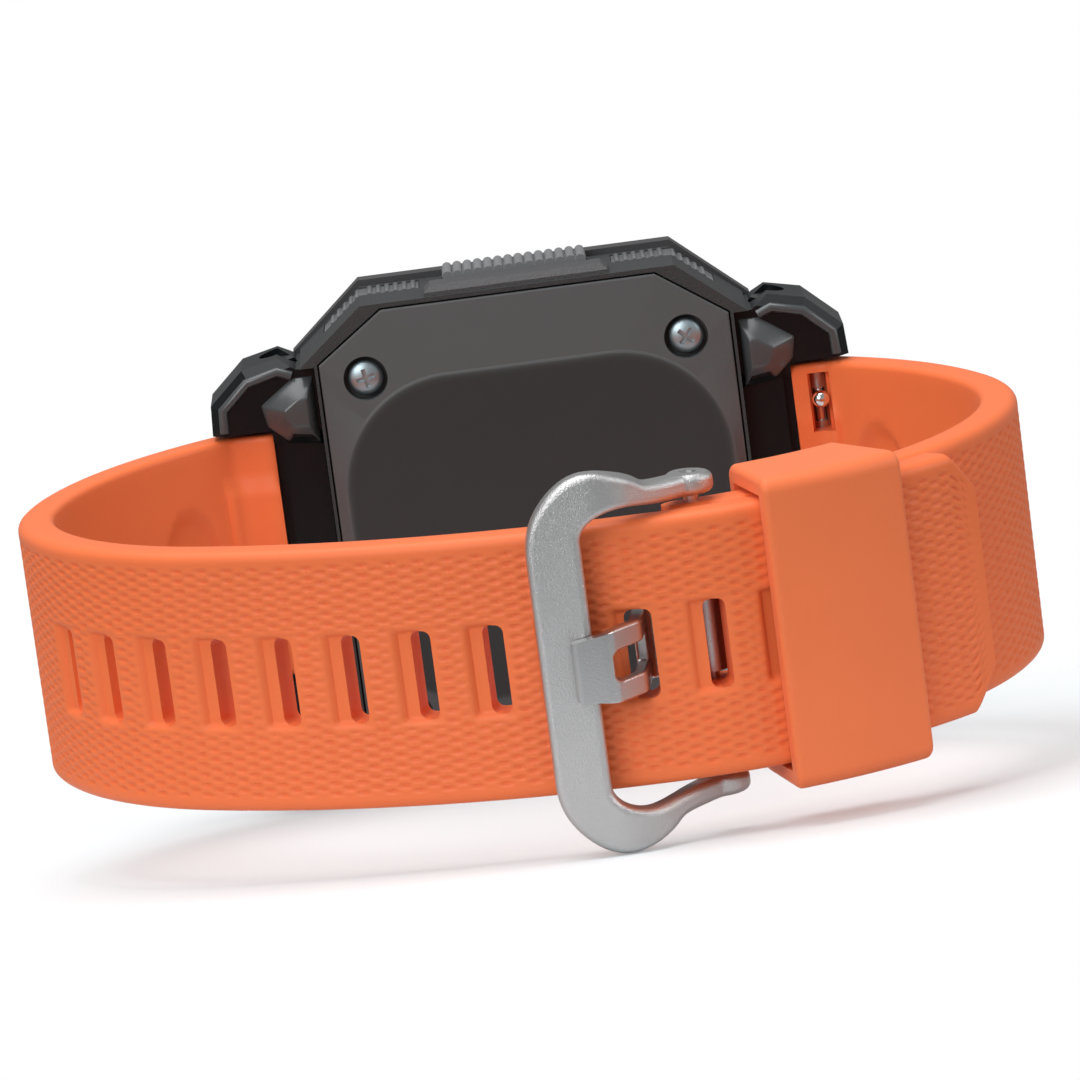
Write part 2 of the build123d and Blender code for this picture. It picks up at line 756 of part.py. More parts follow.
def add_lug_block(side):
    """Sketches the thick strap end that holds the spring bar, cut off short of the case."""
    mid_y = lug_top_y - lug_block_thick / 2
    with Locations((side * (bar_x + lug_end_x) / 2, mid_y)):
        Rectangle(bar_x - lug_end_x, lug_block_thick)
    with Locations((side * bar_x, mid_y)):
        Circle(lug_block_thick / 2)
    with Locations((side * (lug_end_x - 2), mid_y)):
        Rectangle(4, 3 * lug_block_thick, mode=Mode.SUBTRACT)


def make_release_cut(side):
    """Bore of a spring bar and the opening of its knob, to be cut out of a strap end."""
    slot_mid_z = side * sum(release_slot_z) / 2
    slot_span = release_slot_z[1] - release_slot_z[0]
    with BuildPart() as cut:
        with BuildSketch(side_at(-strap_half - 1)):
            with Locations((side * bar_x, bar_y)):
                Circle(bar_radius + fit)
        extrude(amount=2 * strap_half + 2)
        with BuildSketch(face_at(bar_y)):
            with Locations((side * bar_x, slot_mid_z)):
                Rectangle(release_slot_width, slot_span)
        extrude(amount=6)
        with BuildSketch(face_at(knob_y + knob_radius + 0.15)):
            with Locations((side * bar_x, slot_mid_z)):
                Rectangle(2 * knob_radius + 0.3, slot_span)
        extrude(amount=6)
    return cut


release_cut_6 = make_release_cut(-1)
release_cut_12 = make_release_cut(1)

with BuildPart() as tip_strap:
    with BuildSketch(side_at(-strap_half)):
        with BuildLine():
            shared = CenterArc(loop_center, tip_outer_radius, tip_angle, -90 - tip_angle)
            front = JernArc(shared @ 1, shared % 1, front_radius, -front_sweep)
            corner = JernArc(front @ 1, front % 1, corner_radius, -corner_sweep)
            flank = JernArc(corner @ 1, corner % 1, side_radius, -side_sweep)
            shoulder = TangentArc(flank @ 1, (-lug_x, lug_top_y), tangent=flank % 1)
            tip_face = [shared, front, corner, flank, shoulder]
            offset(amount=strap_thick, side=Side.RIGHT)
        make_face()
        add_lug_block(-1)
    extrude(amount=2 * strap_half)
    tip_end = tip_strap.faces().sort_by(Axis.X)[-1]
    chamfer(tip_end.edges().filter_by(Axis.Z, reverse=True), length=tip_corner)
    for i in range(slot_count):
        slot_s = shared.length + prong_slot_s + (i - slots_past_prong) * slot_pitch
        with BuildSketch(along(tip_face, slot_s)):
            RectangleRounded(slot_width, slot_length, 0.7)
        extrude(amount=-strap_thick - 0.4, mode=Mode.SUBTRACT)
    add(release_cut_6.part, mode=Mode.SUBTRACT)

with BuildPart() as buckle_strap:
    end_angle = pin_angle - math.degrees((prong_barrel_radius + 0.95) / pin_orbit)
    with BuildSketch(side_at(-strap_half)):
        with BuildLine():
            inner = CenterArc(loop_center, inner_outer_radius, end_angle, -90 + inner_sweep - end_angle)
            wrist = JernArc(inner @ 1, inner % 1, wrist_radius, wrist_sweep)
            TangentArc(wrist @ 1, (lug_x, lug_top_y), tangent=wrist % 1)
            offset(amount=strap_thick, side=Side.LEFT)
        make_face()
        add_lug_block(1)
    extrude(amount=2 * strap_half)
    # bore of the buckle pin and the slot where the prong turns
    with BuildSketch(side_at(-strap_half)):
        with Locations(pin_axis):
            Circle(buckle_pin_radius + fit)
    extrude(amount=2 * strap_half, mode=Mode.SUBTRACT)
    with BuildSketch(face_at(pin_axis[1] + 2.5)):
        with Locations((pin_axis[0] - 1.2, 0)):
            Rectangle(2 * prong_barrel_radius + 3.2, 2 * barrel_slot_half)
    extrude(amount=5, mode=Mode.SUBTRACT)
    add(release_cut_12.part, mode=Mode.SUBTRACT)

# ---------------------------------------------------------------- buckle
with BuildPart() as buckle_frame:
    # front view: bar, rounded corners and the arms narrowing to the lobes
    with BuildSketch(face_at(pin_axis[1] + 3)):
        with BuildLine():
            for sz in (-1, 1):
                outer = Spline(
                    (bar_outer_x, sz * 8.2),
                    (bar_outer_x + 1.4, sz * (buckle_half_z - 1.9)),
                    (2.9, sz * buckle_half_z),
                    (6.3, sz * (buckle_half_z - 1.1)),
                    (pin_axis[0] + lobe_radius, sz * lobe_outer_z),
                    tangents=[(0, sz), (1, -0.05 * sz)],
                )
                inner_side = Spline(
                    (pin_axis[0] + lobe_radius, sz * lobe_inner_z),
                    (7.4, sz * (window_half_z - 0.35)),
                    (4.4, sz * window_half_z),
                    (bar_inner_x, sz * (window_half_z - 2.0)),
                    tangents=[(-1, 0), (0, -sz)],
                )
                Line(outer @ 1, inner_side @ 0)
            Line((bar_outer_x, -8.2), (bar_outer_x, 8.2))
            Line((bar_inner_x, 2.0 - window_half_z), (bar_inner_x, window_half_z - 2.0))
        make_face()
    extrude(amount=12)
    # side view: flat bar, swan-necked arms, round lobes
    with BuildSketch(side_at(-buckle_half_z - 1)):
        with BuildLine():
            FilletPolyline(
                (bar_outer_x - 1, bar_face_y + buckle_thick / 2),
                (4.2, bar_face_y + buckle_thick / 2),
                pin_axis,
                radius=4.0,
            )
            offset(amount=buckle_thick / 2, side=Side.BOTH)
        make_face()
        with Locations(pin_axis):
            Circle(lobe_radius)
    extrude(amount=2 * buckle_half_z + 2, mode=Mode.INTERSECT)
    fillet(buckle_frame.edges().filter_by(lambda e: e.length > 0.5), radius=buckle_round)
    with BuildSketch(side_at(-buckle_half_z)):
        with Locations(pin_axis):
            Circle(buckle_pin_radius + fit)
    extrude(amount=2 * buckle_half_z, mode=Mode.SUBTRACT)

with BuildPart() as buckle_prong:
    with BuildSketch(side_at(-prong_half)):
        with BuildLine():
            FilletPolyline(
                (0.95, bar_face_y - prong_thick / 2 - 0.15),
                (3.0, bar_face_y - prong_thick / 2 - 0.05),
                (5.2, bar_face_y + 2.0),
                (5.7, pin_axis[1] - 0.35),
                pin_axis,
                radius=0.9,
            )
            offset(amount=prong_thick / 2, side=Side.BOTH)
        make_face()
        with Locations(pin_axis):
            Circle(prong_barrel_radius)
            Circle(buckle_pin_radius + fit, mode=Mode.SUBTRACT)
    extrude(amount=2 * prong_half)
    with BuildSketch(face_at(pin_axis[1] - prong_barrel_radius - 0.2)):
        with Locations((5.6, 0)):
            RectangleRounded(4.4, 2 * prong_window_half, 0.5)
    extrude(amount=10, mode=Mode.SUBTRACT)
    prong_edges = buckle_prong.edges().filter_by(
        lambda e: e.length > 0.5 and e.center().X < pin_axis[0] - prong_barrel_radius
    )
    fillet(prong_edges, radius=prong_round)
    # taper towards the tip
    for end in (-1, 1):
        with BuildSketch(face_at(pin_axis[1])):
            with BuildLine():
                Polyline(
                    (-0.5, end * prong_tip_half),
                    (0.5, end * prong_tip_half),
                    (4.2, end * prong_half),
                    (4.2, end * (prong_half + 1)),
                    (-0.5, end * (prong_half + 1)),
                    close=True,
                )
            make_face()
        extrude(amount=12, both=True, mode=Mode.SUBTRACT)

with BuildPart() as buckle_pin:
    with BuildSketch(side_at(0.3 - lobe_outer_z)):
        with Locations(pin_axis):
            Circle(buckle_pin_radius)
    extrude(amount=2 * (lobe_outer_z - 0.3))

# ---------------------------------------------------------------- keeper
def ring_sector(outer, inner, sweep):
    """Sketch of the part of a ring about the loop's centre that lies at the keeper."""
    with BuildSketch(Plane.XY) as sector:
        with BuildLine():
            far = CenterArc(loop_center, outer, keeper_angle - sweep / 2, sweep)
            near = CenterArc(loop_center, inner, keeper_angle - sweep / 2, sweep)
            Line(far @ 0, near @ 0)
            Line(far @ 1, near @ 1)
        make_face()
    return sector.sketch


cavity_outer = tip_outer_radius + keeper_gap
cavity_inner = inner_outer_radius - strap_thick - keeper_gap
keeper_sweep = math.degrees(keeper_length / (cavity_outer + keeper_wall))
keeper_body = ring_sector(cavity_outer + keeper_wall, cavity_inner - keeper_wall, keeper_sweep)
keeper_cavity = ring_sector(cavity_outer, cavity_inner, keeper_sweep + 4)

with BuildPart() as keeper:
    extrude(keeper_body, amount=strap_half + keeper_side_gap + keeper_wall, both=True)
    long_edges = keeper.edges().filter_by(GeomType.CIRCLE)
    fillet(long_edges, radius=keeper_corner_round)
    mouth_edges = keeper.faces().filter_by(GeomType.PLANE).filter_by(lambda f: abs(f.normal_at().Z) < 0.1).edges()
    fillet(mouth_edges, radius=keeper_round)
    extrude(keeper_cavity, amount=strap_half + keeper_side_gap, both=True, mode=Mode.SUBTRACT)

# ---------------------------------------------------------------- stand the watch up and write it
pieces = {
    "case_body": case_body,
    "side_grips": side_grips,
    "bezel": bezel,
    "crystal": crystal,
    "crystal_gasket": crystal_gasket,
    "dial_ring": dial_ring,
    "lcd_panel": lcd_panel,
    "module_frame": module_frame,
    "circuit_board": circuit_board,
    "coin_cell": coin_cell,
    "cell_clip": cell_clip,
    "antenna": antenna,
    "contact_springs": contact_springs,
    "piezo_buzzer": piezo_buzzer,
    "back_cover": back_cover,
    "back_gasket": back_gasket,
    "back_screws": back_screws,
    "button_guard": button_guard,
    "side_guard": side_guard,
    "main_button": main_button,
    "mode_button": mode_button,
    "set_button": set_button,
    "end_piece_12": end_piece_12,
    "end_piece_6": end_piece_6,
    "end_piece_pins": end_piece_pins,
    "spring_bar_12": spring_bar_12,
    "spring_bar_6": spring_bar_6,
    "release_pin_12": release_pin_12,
    "release_pin_6": release_pin_6,
    "tip_strap": tip_strap,
    "buckle_strap": buckle_strap,
    "buckle_frame": buckle_frame,
    "buckle_prong": buckle_prong,
    "buckle_pin": buckle_pin,
    "keeper": keeper,
}

os.makedirs("parts", exist_ok=True)
leaning = [piece.part.moved(Rotation(lean, 0, 0)) for piece in pieces.values()]
low = Vector(*(min(getattr(p.bounding_box().min, axis) for p in leaning) for axis in "XYZ"))
high = Vector(*(max(getattr(p.bounding_box().max, axis) for p in leaning) for axis in "XYZ"))
stand = Pos(-(low.X + high.X) / 2, -(low.Y + high.Y) / 2, -low.Z) * Rotation(lean, 0, 0)
for name, piece in pieces.items():
    piece.part = piece.part.moved(stand)
    piece.part.label = name
    export_step(piece.part, f"parts/{name}.step")
print("lean", round(lean, 3), "stand", [round(v, 4) for v in stand.position])
print("pin axis", pin_axis)
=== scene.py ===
"""Looks of an outdoor sports watch on a buckled rubber strap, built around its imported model."""
import json
import logging
import math
from dataclasses import dataclass, field
from enum import Enum
from typing import Callable, Optional

import bpy
import numpy as np
from mathutils import Matrix, Vector


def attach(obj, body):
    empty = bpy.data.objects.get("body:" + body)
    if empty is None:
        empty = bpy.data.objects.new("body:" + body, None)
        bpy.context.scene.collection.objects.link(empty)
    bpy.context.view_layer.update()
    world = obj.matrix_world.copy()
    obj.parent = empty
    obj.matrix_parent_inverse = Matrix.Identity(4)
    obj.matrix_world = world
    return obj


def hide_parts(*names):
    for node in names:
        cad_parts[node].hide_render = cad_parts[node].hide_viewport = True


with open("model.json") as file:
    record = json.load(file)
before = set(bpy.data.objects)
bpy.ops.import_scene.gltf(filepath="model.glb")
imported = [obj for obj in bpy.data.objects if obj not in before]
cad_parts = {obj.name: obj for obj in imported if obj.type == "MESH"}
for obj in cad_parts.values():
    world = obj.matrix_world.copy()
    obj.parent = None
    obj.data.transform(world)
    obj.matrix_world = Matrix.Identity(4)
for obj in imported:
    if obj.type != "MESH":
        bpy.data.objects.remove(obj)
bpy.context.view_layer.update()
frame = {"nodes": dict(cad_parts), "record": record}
LOG = logging.getLogger("watch")
MM = 0.001
WATCH = "watch"


# ---------------------------------------------------------------- frames and helpers
def srgb(red: float, green: float, blue: float) -> tuple[float, float, float]:
    """Turns display values from 0 to 255 into linear colour.

    Args:
        red: Red as it shows on a display.
        green: Green as it shows on a display.
        blue: Blue as it shows on a display.

    Returns:
        The linear red, green and blue.
    """
    return tuple(
        ((c / 255 + 0.055) / 1.055) ** 2.4 if c > 10 else c / 255 / 12.92 for c in (red, green, blue)
    )


@dataclass(frozen=True)
class WatchFrame:
    """The watch's own axes, leant in the row frame: X to 12 o'clock, Y out of the dial, Z to 3 o'clock."""

    lean: float
    origin: Vector

    @classmethod
    def from_record(cls, record: dict) -> "WatchFrame":
        """Reads the lean and the origin off the case_back mount.

        Args:
            record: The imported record.

        Returns:
            The watch's frame.
        """
        mount = next(m for m in record["mounts"] if m["name"] == "case_back")
        axis = mount["axis"]
        lean = math.atan2(-axis[2], -axis[1])
        plateau = Matrix.Rotation(lean, 3, "X") @ Vector((0, -3.7 * MM, 0))
        return cls(lean, Vector(mount["pos_m"]) - plateau)

    def matrix(self) -> Matrix:
        """Returns the matrix from watch millimetres to the row frame's metres."""
        turn = Matrix.Rotation(self.lean, 4, "X")
        return Matrix.Translation(self.origin) @ turn @ Matrix.Scale(MM, 4)

    def direction(self, x: float, y: float, z: float) -> Vector:
        """Returns a watch direction in the row frame."""
        return Matrix.Rotation(self.lean, 3, "X") @ Vector((x, y, z))


POSE = WatchFrame.from_record(frame["record"])


def deselect_all() -> None:
    """Leaves object mode with nothing selected."""
    if bpy.context.object and bpy.context.object.mode != "OBJECT":
        bpy.ops.object.mode_set(mode="OBJECT")
    bpy.ops.object.select_all(action="DESELECT")


def select_only(piece: bpy.types.Object) -> None:
    """Makes one piece the only selected and the active one."""
    deselect_all()
    piece.select_set(True)
    bpy.context.view_layer.objects.active = piece


def apply_modifiers(piece: bpy.types.Object) -> None:
    """Applies every modifier of a piece in order."""
    select_only(piece)
    for modifier in list(piece.modifiers):
        bpy.ops.object.modifier_apply(modifier=modifier.name)


def seat(piece: bpy.types.Object, name: str, body: str = WATCH) -> bpy.types.Object:
    """Moves a piece made in watch millimetres into the row frame and lets it ride.

    Args:
        piece: The piece, at its place in watch millimetres.
        name: Its name in the model.
        body: The body that it moves with.

    Returns:
        The same piece.
    """
    piece.name = piece.data.name = name
    bpy.context.view_layer.update()
    piece.data.transform(POSE.matrix() @ piece.matrix_world)
    piece.matrix_world = Matrix.Identity(4)
    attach(piece, body)
    LOG.info("%s: %d faces", name, len(piece.data.polygons))
    return piece


def smooth_by_angle(piece: bpy.types.Object, degrees: float) -> None:
    """Shades a piece smooth except along edges sharper than an angle."""
    select_only(piece)
    bpy.ops.object.shade_smooth_by_angle(angle=math.radians(degrees))


def box(middle: tuple[float, float, float], size: tuple[float, float, float]) -> bpy.types.Object:
    """Adds a plain box.

    Args:
        middle: Its middle.
        size: Its three sides.

    Returns:
        The box.
    """
    deselect_all()
    bpy.ops.mesh.primitive_cube_add(size=1, location=middle)
    bpy.context.object.scale = size
    bpy.ops.object.transform_apply(location=False, rotation=False, scale=True)
    return bpy.context.object


def subtract(piece: bpy.types.Object, cutters: list[bpy.types.Object]) -> None:
    """Cuts several closed pieces out of another at once and removes them."""
    deselect_all()
    for cutter in cutters:
        cutter.select_set(True)
    bpy.context.view_layer.objects.active = cutters[0]
    bpy.ops.object.join()
    joined = bpy.context.object
    cut = piece.modifiers.new("cut", "BOOLEAN")
    cut.operation = "DIFFERENCE"
    cut.object = joined
    cut.solver = "EXACT"
    apply_modifiers(piece)
    bpy.data.objects.remove(joined)


def shell(points: np.ndarray) -> bpy.types.Object:
    """Bends a grid into closed rings of points and caps both ends.

    Args:
        points: Places as rings by points by three, each ring closing on itself.

    Returns:
        The closed piece.
    """
    rings, count = points.shape[:2]
    deselect_all()
    bpy.ops.mesh.primitive_grid_add(x_subdivisions=rings - 1, y_subdivisions=count, size=2)
    piece = bpy.context.object
    co = np.empty(len(piece.data.vertices) * 3)
    piece.data.vertices.foreach_get("co", co)
    co = co.reshape(-1, 3)
    i = np.rint((co[:, 0] + 1) / 2 * (rings - 1)).astype(int)
    j = np.rint((co[:, 1] + 1) / 2 * count).astype(int) % count
    piece.data.vertices.foreach_set("co", points[i, j].ravel())
    piece.data.update()
    select_only(piece)
    bpy.ops.object.mode_set(mode="EDIT")
    bpy.ops.mesh.select_all(action="SELECT")
    bpy.ops.mesh.remove_doubles(threshold=0.002)
    bpy.ops.mesh.select_all(action="DESELECT")
    bpy.ops.mesh.select_non_manifold(extend=False)
    bpy.ops.mesh.fill_holes(sides=0)
    bpy.ops.mesh.select_all(action="SELECT")
    bpy.ops.mesh.normals_make_consistent(inside=False)
    bpy.ops.object.mode_set(mode="OBJECT")
    return piece


def dress(piece: bpy.types.Object, finish: str) -> None:
    """Gives a new piece one finish."""
    piece.data.materials.clear()
    piece.data.materials.append(FINISHES[finish].material())


# ---------------------------------------------------------------- shared shader groups
class Groups:
    """Shader node groups that several finishes share, each built once."""

    _built: dict[str, bpy.types.NodeTree] = {}

    @classmethod
    def _new(
        cls, name: str, inputs: list[tuple[str, str, object]], outputs: list[tuple[str, str]]
    ) -> bpy.types.NodeTree:
        """Starts a group with its sockets.

        Args:
            name: The group's name.
            inputs: Name, socket type and default of each input.
            outputs: Name and socket type of each output.

        Returns:
            The empty group.
        """
        tree = bpy.data.node_groups.new(name, "ShaderNodeTree")
        for label, kind, default in inputs:
            socket = tree.interface.new_socket(label, in_out="INPUT", socket_type=kind)
            socket.default_value = default
        for label, kind in outputs:
            tree.interface.new_socket(label, in_out="OUTPUT", socket_type=kind)
        cls._built[name] = tree
        return tree

    @classmethod
    def surface(cls) -> bpy.types.NodeTree:
        """Fine grain with drifting tone: puts out Color, Roughness and Normal."""
        if "fine_surface" in cls._built:
            return cls._built["fine_surface"]
        tree = cls._new(
            "fine_surface",
            [
                ("Color", "NodeSocketColor", (0.5, 0.5, 0.5, 1)),
                ("Tone Drift", "NodeSocketFloat", 0.1),
                ("Roughness", "NodeSocketFloat", 0.5),
                ("Roughness Drift", "NodeSocketFloat", 0.1),
                ("Grain Scale", "NodeSocketFloat", 4000.0),
                ("Grain Height", "NodeSocketFloat", 0.00001),
            ],
            [("Color", "NodeSocketColor"), ("Roughness", "NodeSocketFloat"), ("Normal", "NodeSocketVector")],
        )
        nodes, links = tree.nodes, tree.links
        given = nodes.new("NodeGroupInput")
        out = nodes.new("NodeGroupOutput")
        place = nodes.new("ShaderNodeTexCoord")
        drift = nodes.new("ShaderNodeTexNoise")
        drift.inputs["Scale"].default_value = 140
        drift.inputs["Detail"].default_value = 4
        grain = nodes.new("ShaderNodeTexNoise")
        grain.inputs["Detail"].default_value = 3
        links.new(place.outputs["Object"], drift.inputs["Vector"])
        links.new(place.outputs["Object"], grain.inputs["Vector"])
        links.new(given.outputs["Grain Scale"], grain.inputs["Scale"])
        centred = nodes.new("ShaderNodeMath")
        centred.operation = "SUBTRACT"
        centred.inputs[1].default_value = 0.5
        links.new(drift.outputs["Fac"], centred.inputs[0])
        tone = nodes.new("ShaderNodeMath")
        tone.operation = "MULTIPLY_ADD"
        tone.inputs[2].default_value = 1.0
        links.new(centred.outputs[0], tone.inputs[0])
        links.new(given.outputs["Tone Drift"], tone.inputs[1])
        shade = nodes.new("ShaderNodeVectorMath")
        shade.operation = "SCALE"
        links.new(given.outputs["Color"], shade.inputs[0])
        links.new(tone.outputs[0], shade.inputs["Scale"])
        links.new(shade.outputs["Vector"], out.inputs["Color"])
        rough = nodes.new("ShaderNodeMath")
        rough.operation = "MULTIPLY_ADD"
        links.new(centred.outputs[0], rough.inputs[0])
        links.new(given.outputs["Roughness Drift"], rough.inputs[1])
        links.new(given.outputs["Roughness"], rough.inputs[2])
        links.new(rough.outputs[0], out.inputs["Roughness"])
        bump = nodes.new("ShaderNodeBump")
        links.new(grain.outputs["Fac"], bump.inputs["Height"])
        links.new(given.outputs["Grain Height"], bump.inputs["Distance"])
        links.new(bump.outputs["Normal"], out.inputs["Normal"])
        return tree


def raised_tone(
    tree: bpy.types.NodeTree, color: bpy.types.NodeSocket, level: float, share: float
) -> bpy.types.NodeSocket:
    """Darkens a colour where the watch's back stands past a level: painted shade on the back's plateau, set against
    its lighter sloping flanks.

    Args:
        tree: The material's tree.
        color: The colour's socket.
        level: Depth along the watch's own Y, in metres.
        share: What is left of the colour there.

    Returns:
        The new colour's socket.
    """
    place = tree.nodes.new("ShaderNodeTexCoord")
    depth = tree.nodes.new("ShaderNodeVectorMath")
    depth.operation = "DOT_PRODUCT"
    depth.inputs[1].default_value = POSE.direction(0, 1, 0)
    tree.links.new(place.outputs["Object"], depth.inputs[0])
    base = POSE.origin.dot(POSE.direction(0, 1, 0))
    # Painted shade mask: 1 on the flanks, falling to the share on the plateau.
    mask = tree.nodes.new("ShaderNodeMapRange")
    mask.interpolation_type = "SMOOTHSTEP"
    mask.inputs["From Min"].default_value = base + level + 0.00012
    mask.inputs["From Max"].default_value = base + level - 0.00002
    mask.inputs["To Min"].default_value = 1.0
    mask.inputs["To Max"].default_value = share
    tree.links.new(depth.outputs["Value"], mask.inputs["Value"])
    scaled = tree.nodes.new("ShaderNodeVectorMath")
    scaled.operation = "SCALE"
    tree.links.new(color, scaled.inputs[0])
    tree.links.new(mask.outputs["Result"], scaled.inputs["Scale"])
    return scaled.outputs["Vector"]


class Kind(Enum):
    """How a finish answers light beyond its colour."""

    PLASTIC = "plastic"
    RUBBER = "rubber"
    METAL = "metal"
    GLASS = "glass"


@dataclass(frozen=True)
class Finish:
    """One surface finish, made into a material the first time it is asked for."""

    name: str
    color: tuple[float, float, float]
    kind: Kind = Kind.PLASTIC
    roughness: float = 0.5
    tone_drift: float = 0.12
    roughness_drift: float = 0.12
    grain_scale: float = 6000.0
    grain_height: float = 0.00001
    coat: float = 0.0
    coat_roughness: float = 0.1
    sheen: float = 0.0
    specular: float = 0.5
    ior: float = 1.5
    # Depth and share of the painted shade that darkens the back's plateau, or None.
    raised: Optional[tuple[float, float]] = None

    def material(self) -> bpy.types.Material:
        """Returns the finish's material, building it once."""
        label = f"{self.name}_finish"
        found = bpy.data.materials.get(label)
        if found:
            return found
        material = bpy.data.materials.new(label)
        material.use_nodes = True
        tree = material.node_tree
        shader = tree.nodes["Principled BSDF"]
        surface = tree.nodes.new("ShaderNodeGroup")
        surface.node_tree = Groups.surface()
        surface.inputs["Color"].default_value = (*self.color, 1)
        surface.inputs["Tone Drift"].default_value = self.tone_drift
        surface.inputs["Roughness"].default_value = self.roughness
        surface.inputs["Roughness Drift"].default_value = self.roughness_drift
        surface.inputs["Grain Scale"].default_value = self.grain_scale
        surface.inputs["Grain Height"].default_value = self.grain_height
        color = surface.outputs["Color"]
        # Painted shade: darkens the colour on the back's plateau.
        if self.raised:
            color = raised_tone(tree, color, *self.raised)
        tree.links.new(color, shader.inputs["Base Color"])
        tree.links.new(surface.outputs["Roughness"], shader.inputs["Roughness"])
        tree.links.new(surface.outputs["Normal"], shader.inputs["Normal"])
        shader.inputs["Specular IOR Level"].default_value = self.specular
        shader.inputs["IOR"].default_value = self.ior
        if self.coat:
            shader.inputs["Coat Weight"].default_value = self.coat
            shader.inputs["Coat Roughness"].default_value = self.coat_roughness
        if self.sheen:
            shader.inputs["Sheen Weight"].default_value = self.sheen
            shader.inputs["Sheen Roughness"].default_value = 0.4
        if self.kind is Kind.METAL:
            shader.inputs["Metallic"].default_value = 1.0
        if self.kind is Kind.GLASS:
            shader.inputs["Transmission Weight"].default_value = 1.0
        return material


ORANGE = (0.92, 0.192, 0.058)
FINISHES = {
    "case_resin": Finish(
        "case_resin", srgb(60, 61, 62), roughness=0.6, grain_scale=5200, grain_height=0.00008, specular=0.3
    ),
    "grip_resin": Finish("grip_resin", srgb(112, 113, 115), roughness=0.32, coat=0.3, grain_height=0.000004),
    "bezel_resin": Finish("bezel_resin", srgb(66, 66, 68), roughness=0.5, grain_height=0.00002),
    "crystal": Finish("crystal", (0.95, 0.97, 0.97), Kind.GLASS, 0.03, 0.03, 0.02, grain_height=0.0),
    "gasket": Finish("gasket", srgb(28, 28, 28), Kind.RUBBER, 0.7),
    "dial_ring": Finish("dial_ring", srgb(30, 30, 32), roughness=0.45),
    "lcd": Finish("lcd", srgb(150, 156, 140), roughness=0.35, coat=0.6, grain_height=0.000002),
    "module_resin": Finish("module_resin", srgb(214, 212, 204), roughness=0.5),
    "board": Finish("board", srgb(24, 92, 52), roughness=0.35, coat=0.5),
    "cell_steel": Finish("cell_steel", (0.72, 0.72, 0.71), Kind.METAL, 0.3, grain_scale=9000),
    "clip_steel": Finish("clip_steel", (0.74, 0.74, 0.74), Kind.METAL, 0.28),
    "ferrite": Finish("ferrite", srgb(70, 56, 50), roughness=0.5),
    "contact_brass": Finish("contact_brass", (0.80, 0.63, 0.30), Kind.METAL, 0.28),
    "buzzer_brass": Finish("buzzer_brass", (0.80, 0.63, 0.32), Kind.METAL, 0.35),
    # Painted shade: the cover's colour drops to 0.37 on its plateau, past 3.7 mm, standing in for its shade against
    # the lighter flanks.
    "cover_resin": Finish(
        "cover_resin", srgb(88, 90, 91), roughness=0.5, tone_drift=0.06,
        grain_scale=9000, grain_height=0.000004,
        specular=0.22, raised=(-0.0037, 0.37),
    ),
    "screw_steel": Finish(
        "screw_steel", (0.42, 0.52, 0.56), Kind.METAL, 0.42, 0.08, 0.06, grain_height=0.000004
    ),
    "guard_resin": Finish(
        "guard_resin", srgb(74, 74, 76), roughness=0.6, grain_scale=4200, grain_height=0.00009
    ),
    "button_resin": Finish(
        "button_resin", srgb(124, 125, 127), roughness=0.4, coat=0.2, grain_height=0.00001
    ),
    "end_resin": Finish(
        "end_resin", srgb(12, 18, 21), roughness=0.36, grain_scale=5000, grain_height=0.000006, coat=0.12,
        coat_roughness=0.25, specular=0.2,
    ),
    "pin_steel": Finish("pin_steel", (0.10, 0.10, 0.10), Kind.METAL, 0.35),
    "bar_steel": Finish("bar_steel", (0.55, 0.55, 0.55), Kind.METAL, 0.3),
    "release_steel": Finish("release_steel", (0.85, 0.85, 0.85), Kind.METAL, 0.1),
    "strap_rubber": Finish(
        "strap_rubber", ORANGE, Kind.RUBBER, 0.48, 0.08, 0.12, 7000, 0.000010, sheen=0.04, specular=0.35
    ),
    "keeper_rubber": Finish(
        "keeper_rubber", (0.91, 0.205, 0.070), Kind.RUBBER, 0.5, 0.08, 0.12, 8000, 0.000008,
        sheen=0.08, specular=0.3,
    ),
    "buckle_metal": Finish("buckle_metal", (0.60, 0.60, 0.60), Kind.METAL, 0.38, 0.06, 0.08, 9000, 0.00005),
    "prong_metal": Finish("prong_metal", (0.58, 0.58, 0.58), Kind.METAL, 0.32, 0.06, 0.12, 7000, 0.00002),
    "buckle_pin_steel": Finish("buckle_pin_steel", (0.6, 0.6, 0.6), Kind.METAL, 0.3),
    "marking_white": Finish("marking_white", srgb(225, 226, 224), roughness=0.5),
    # Painted highlight: a lighter copy of end_resin. Part of the brightness is real gloss from its coat, and part is
    # a lighter colour standing in for the top light on the horn bands and boss facets.
    "trim_resin_painted_highlight": Finish(
        "trim_resin_painted_highlight", srgb(72, 76, 78), roughness=0.3, grain_scale=5000, grain_height=0.000006, coat=0.4,
        coat_roughness=0.2, specular=0.4,
    ),
    "segment_black": Finish("segment_black", srgb(22, 24, 22), roughness=0.4),
}


def dress_nodes() -> None:
    """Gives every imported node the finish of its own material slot."""
    slots = {part["node"]: part["material_slot"] for part in frame["record"]["subparts"]}
    for node, obj in frame["nodes"].items():
        obj.data.materials.clear()
        obj.data.materials.append(FINISHES[slots[node]].material())
        LOG.info("%s dressed as %s", node, slots[node])


# ---------------------------------------------------------------- strap
class Turn(Enum):
    """Which way a run along the strap's outer face turns."""

    LEFT = 1
    RIGHT = -1


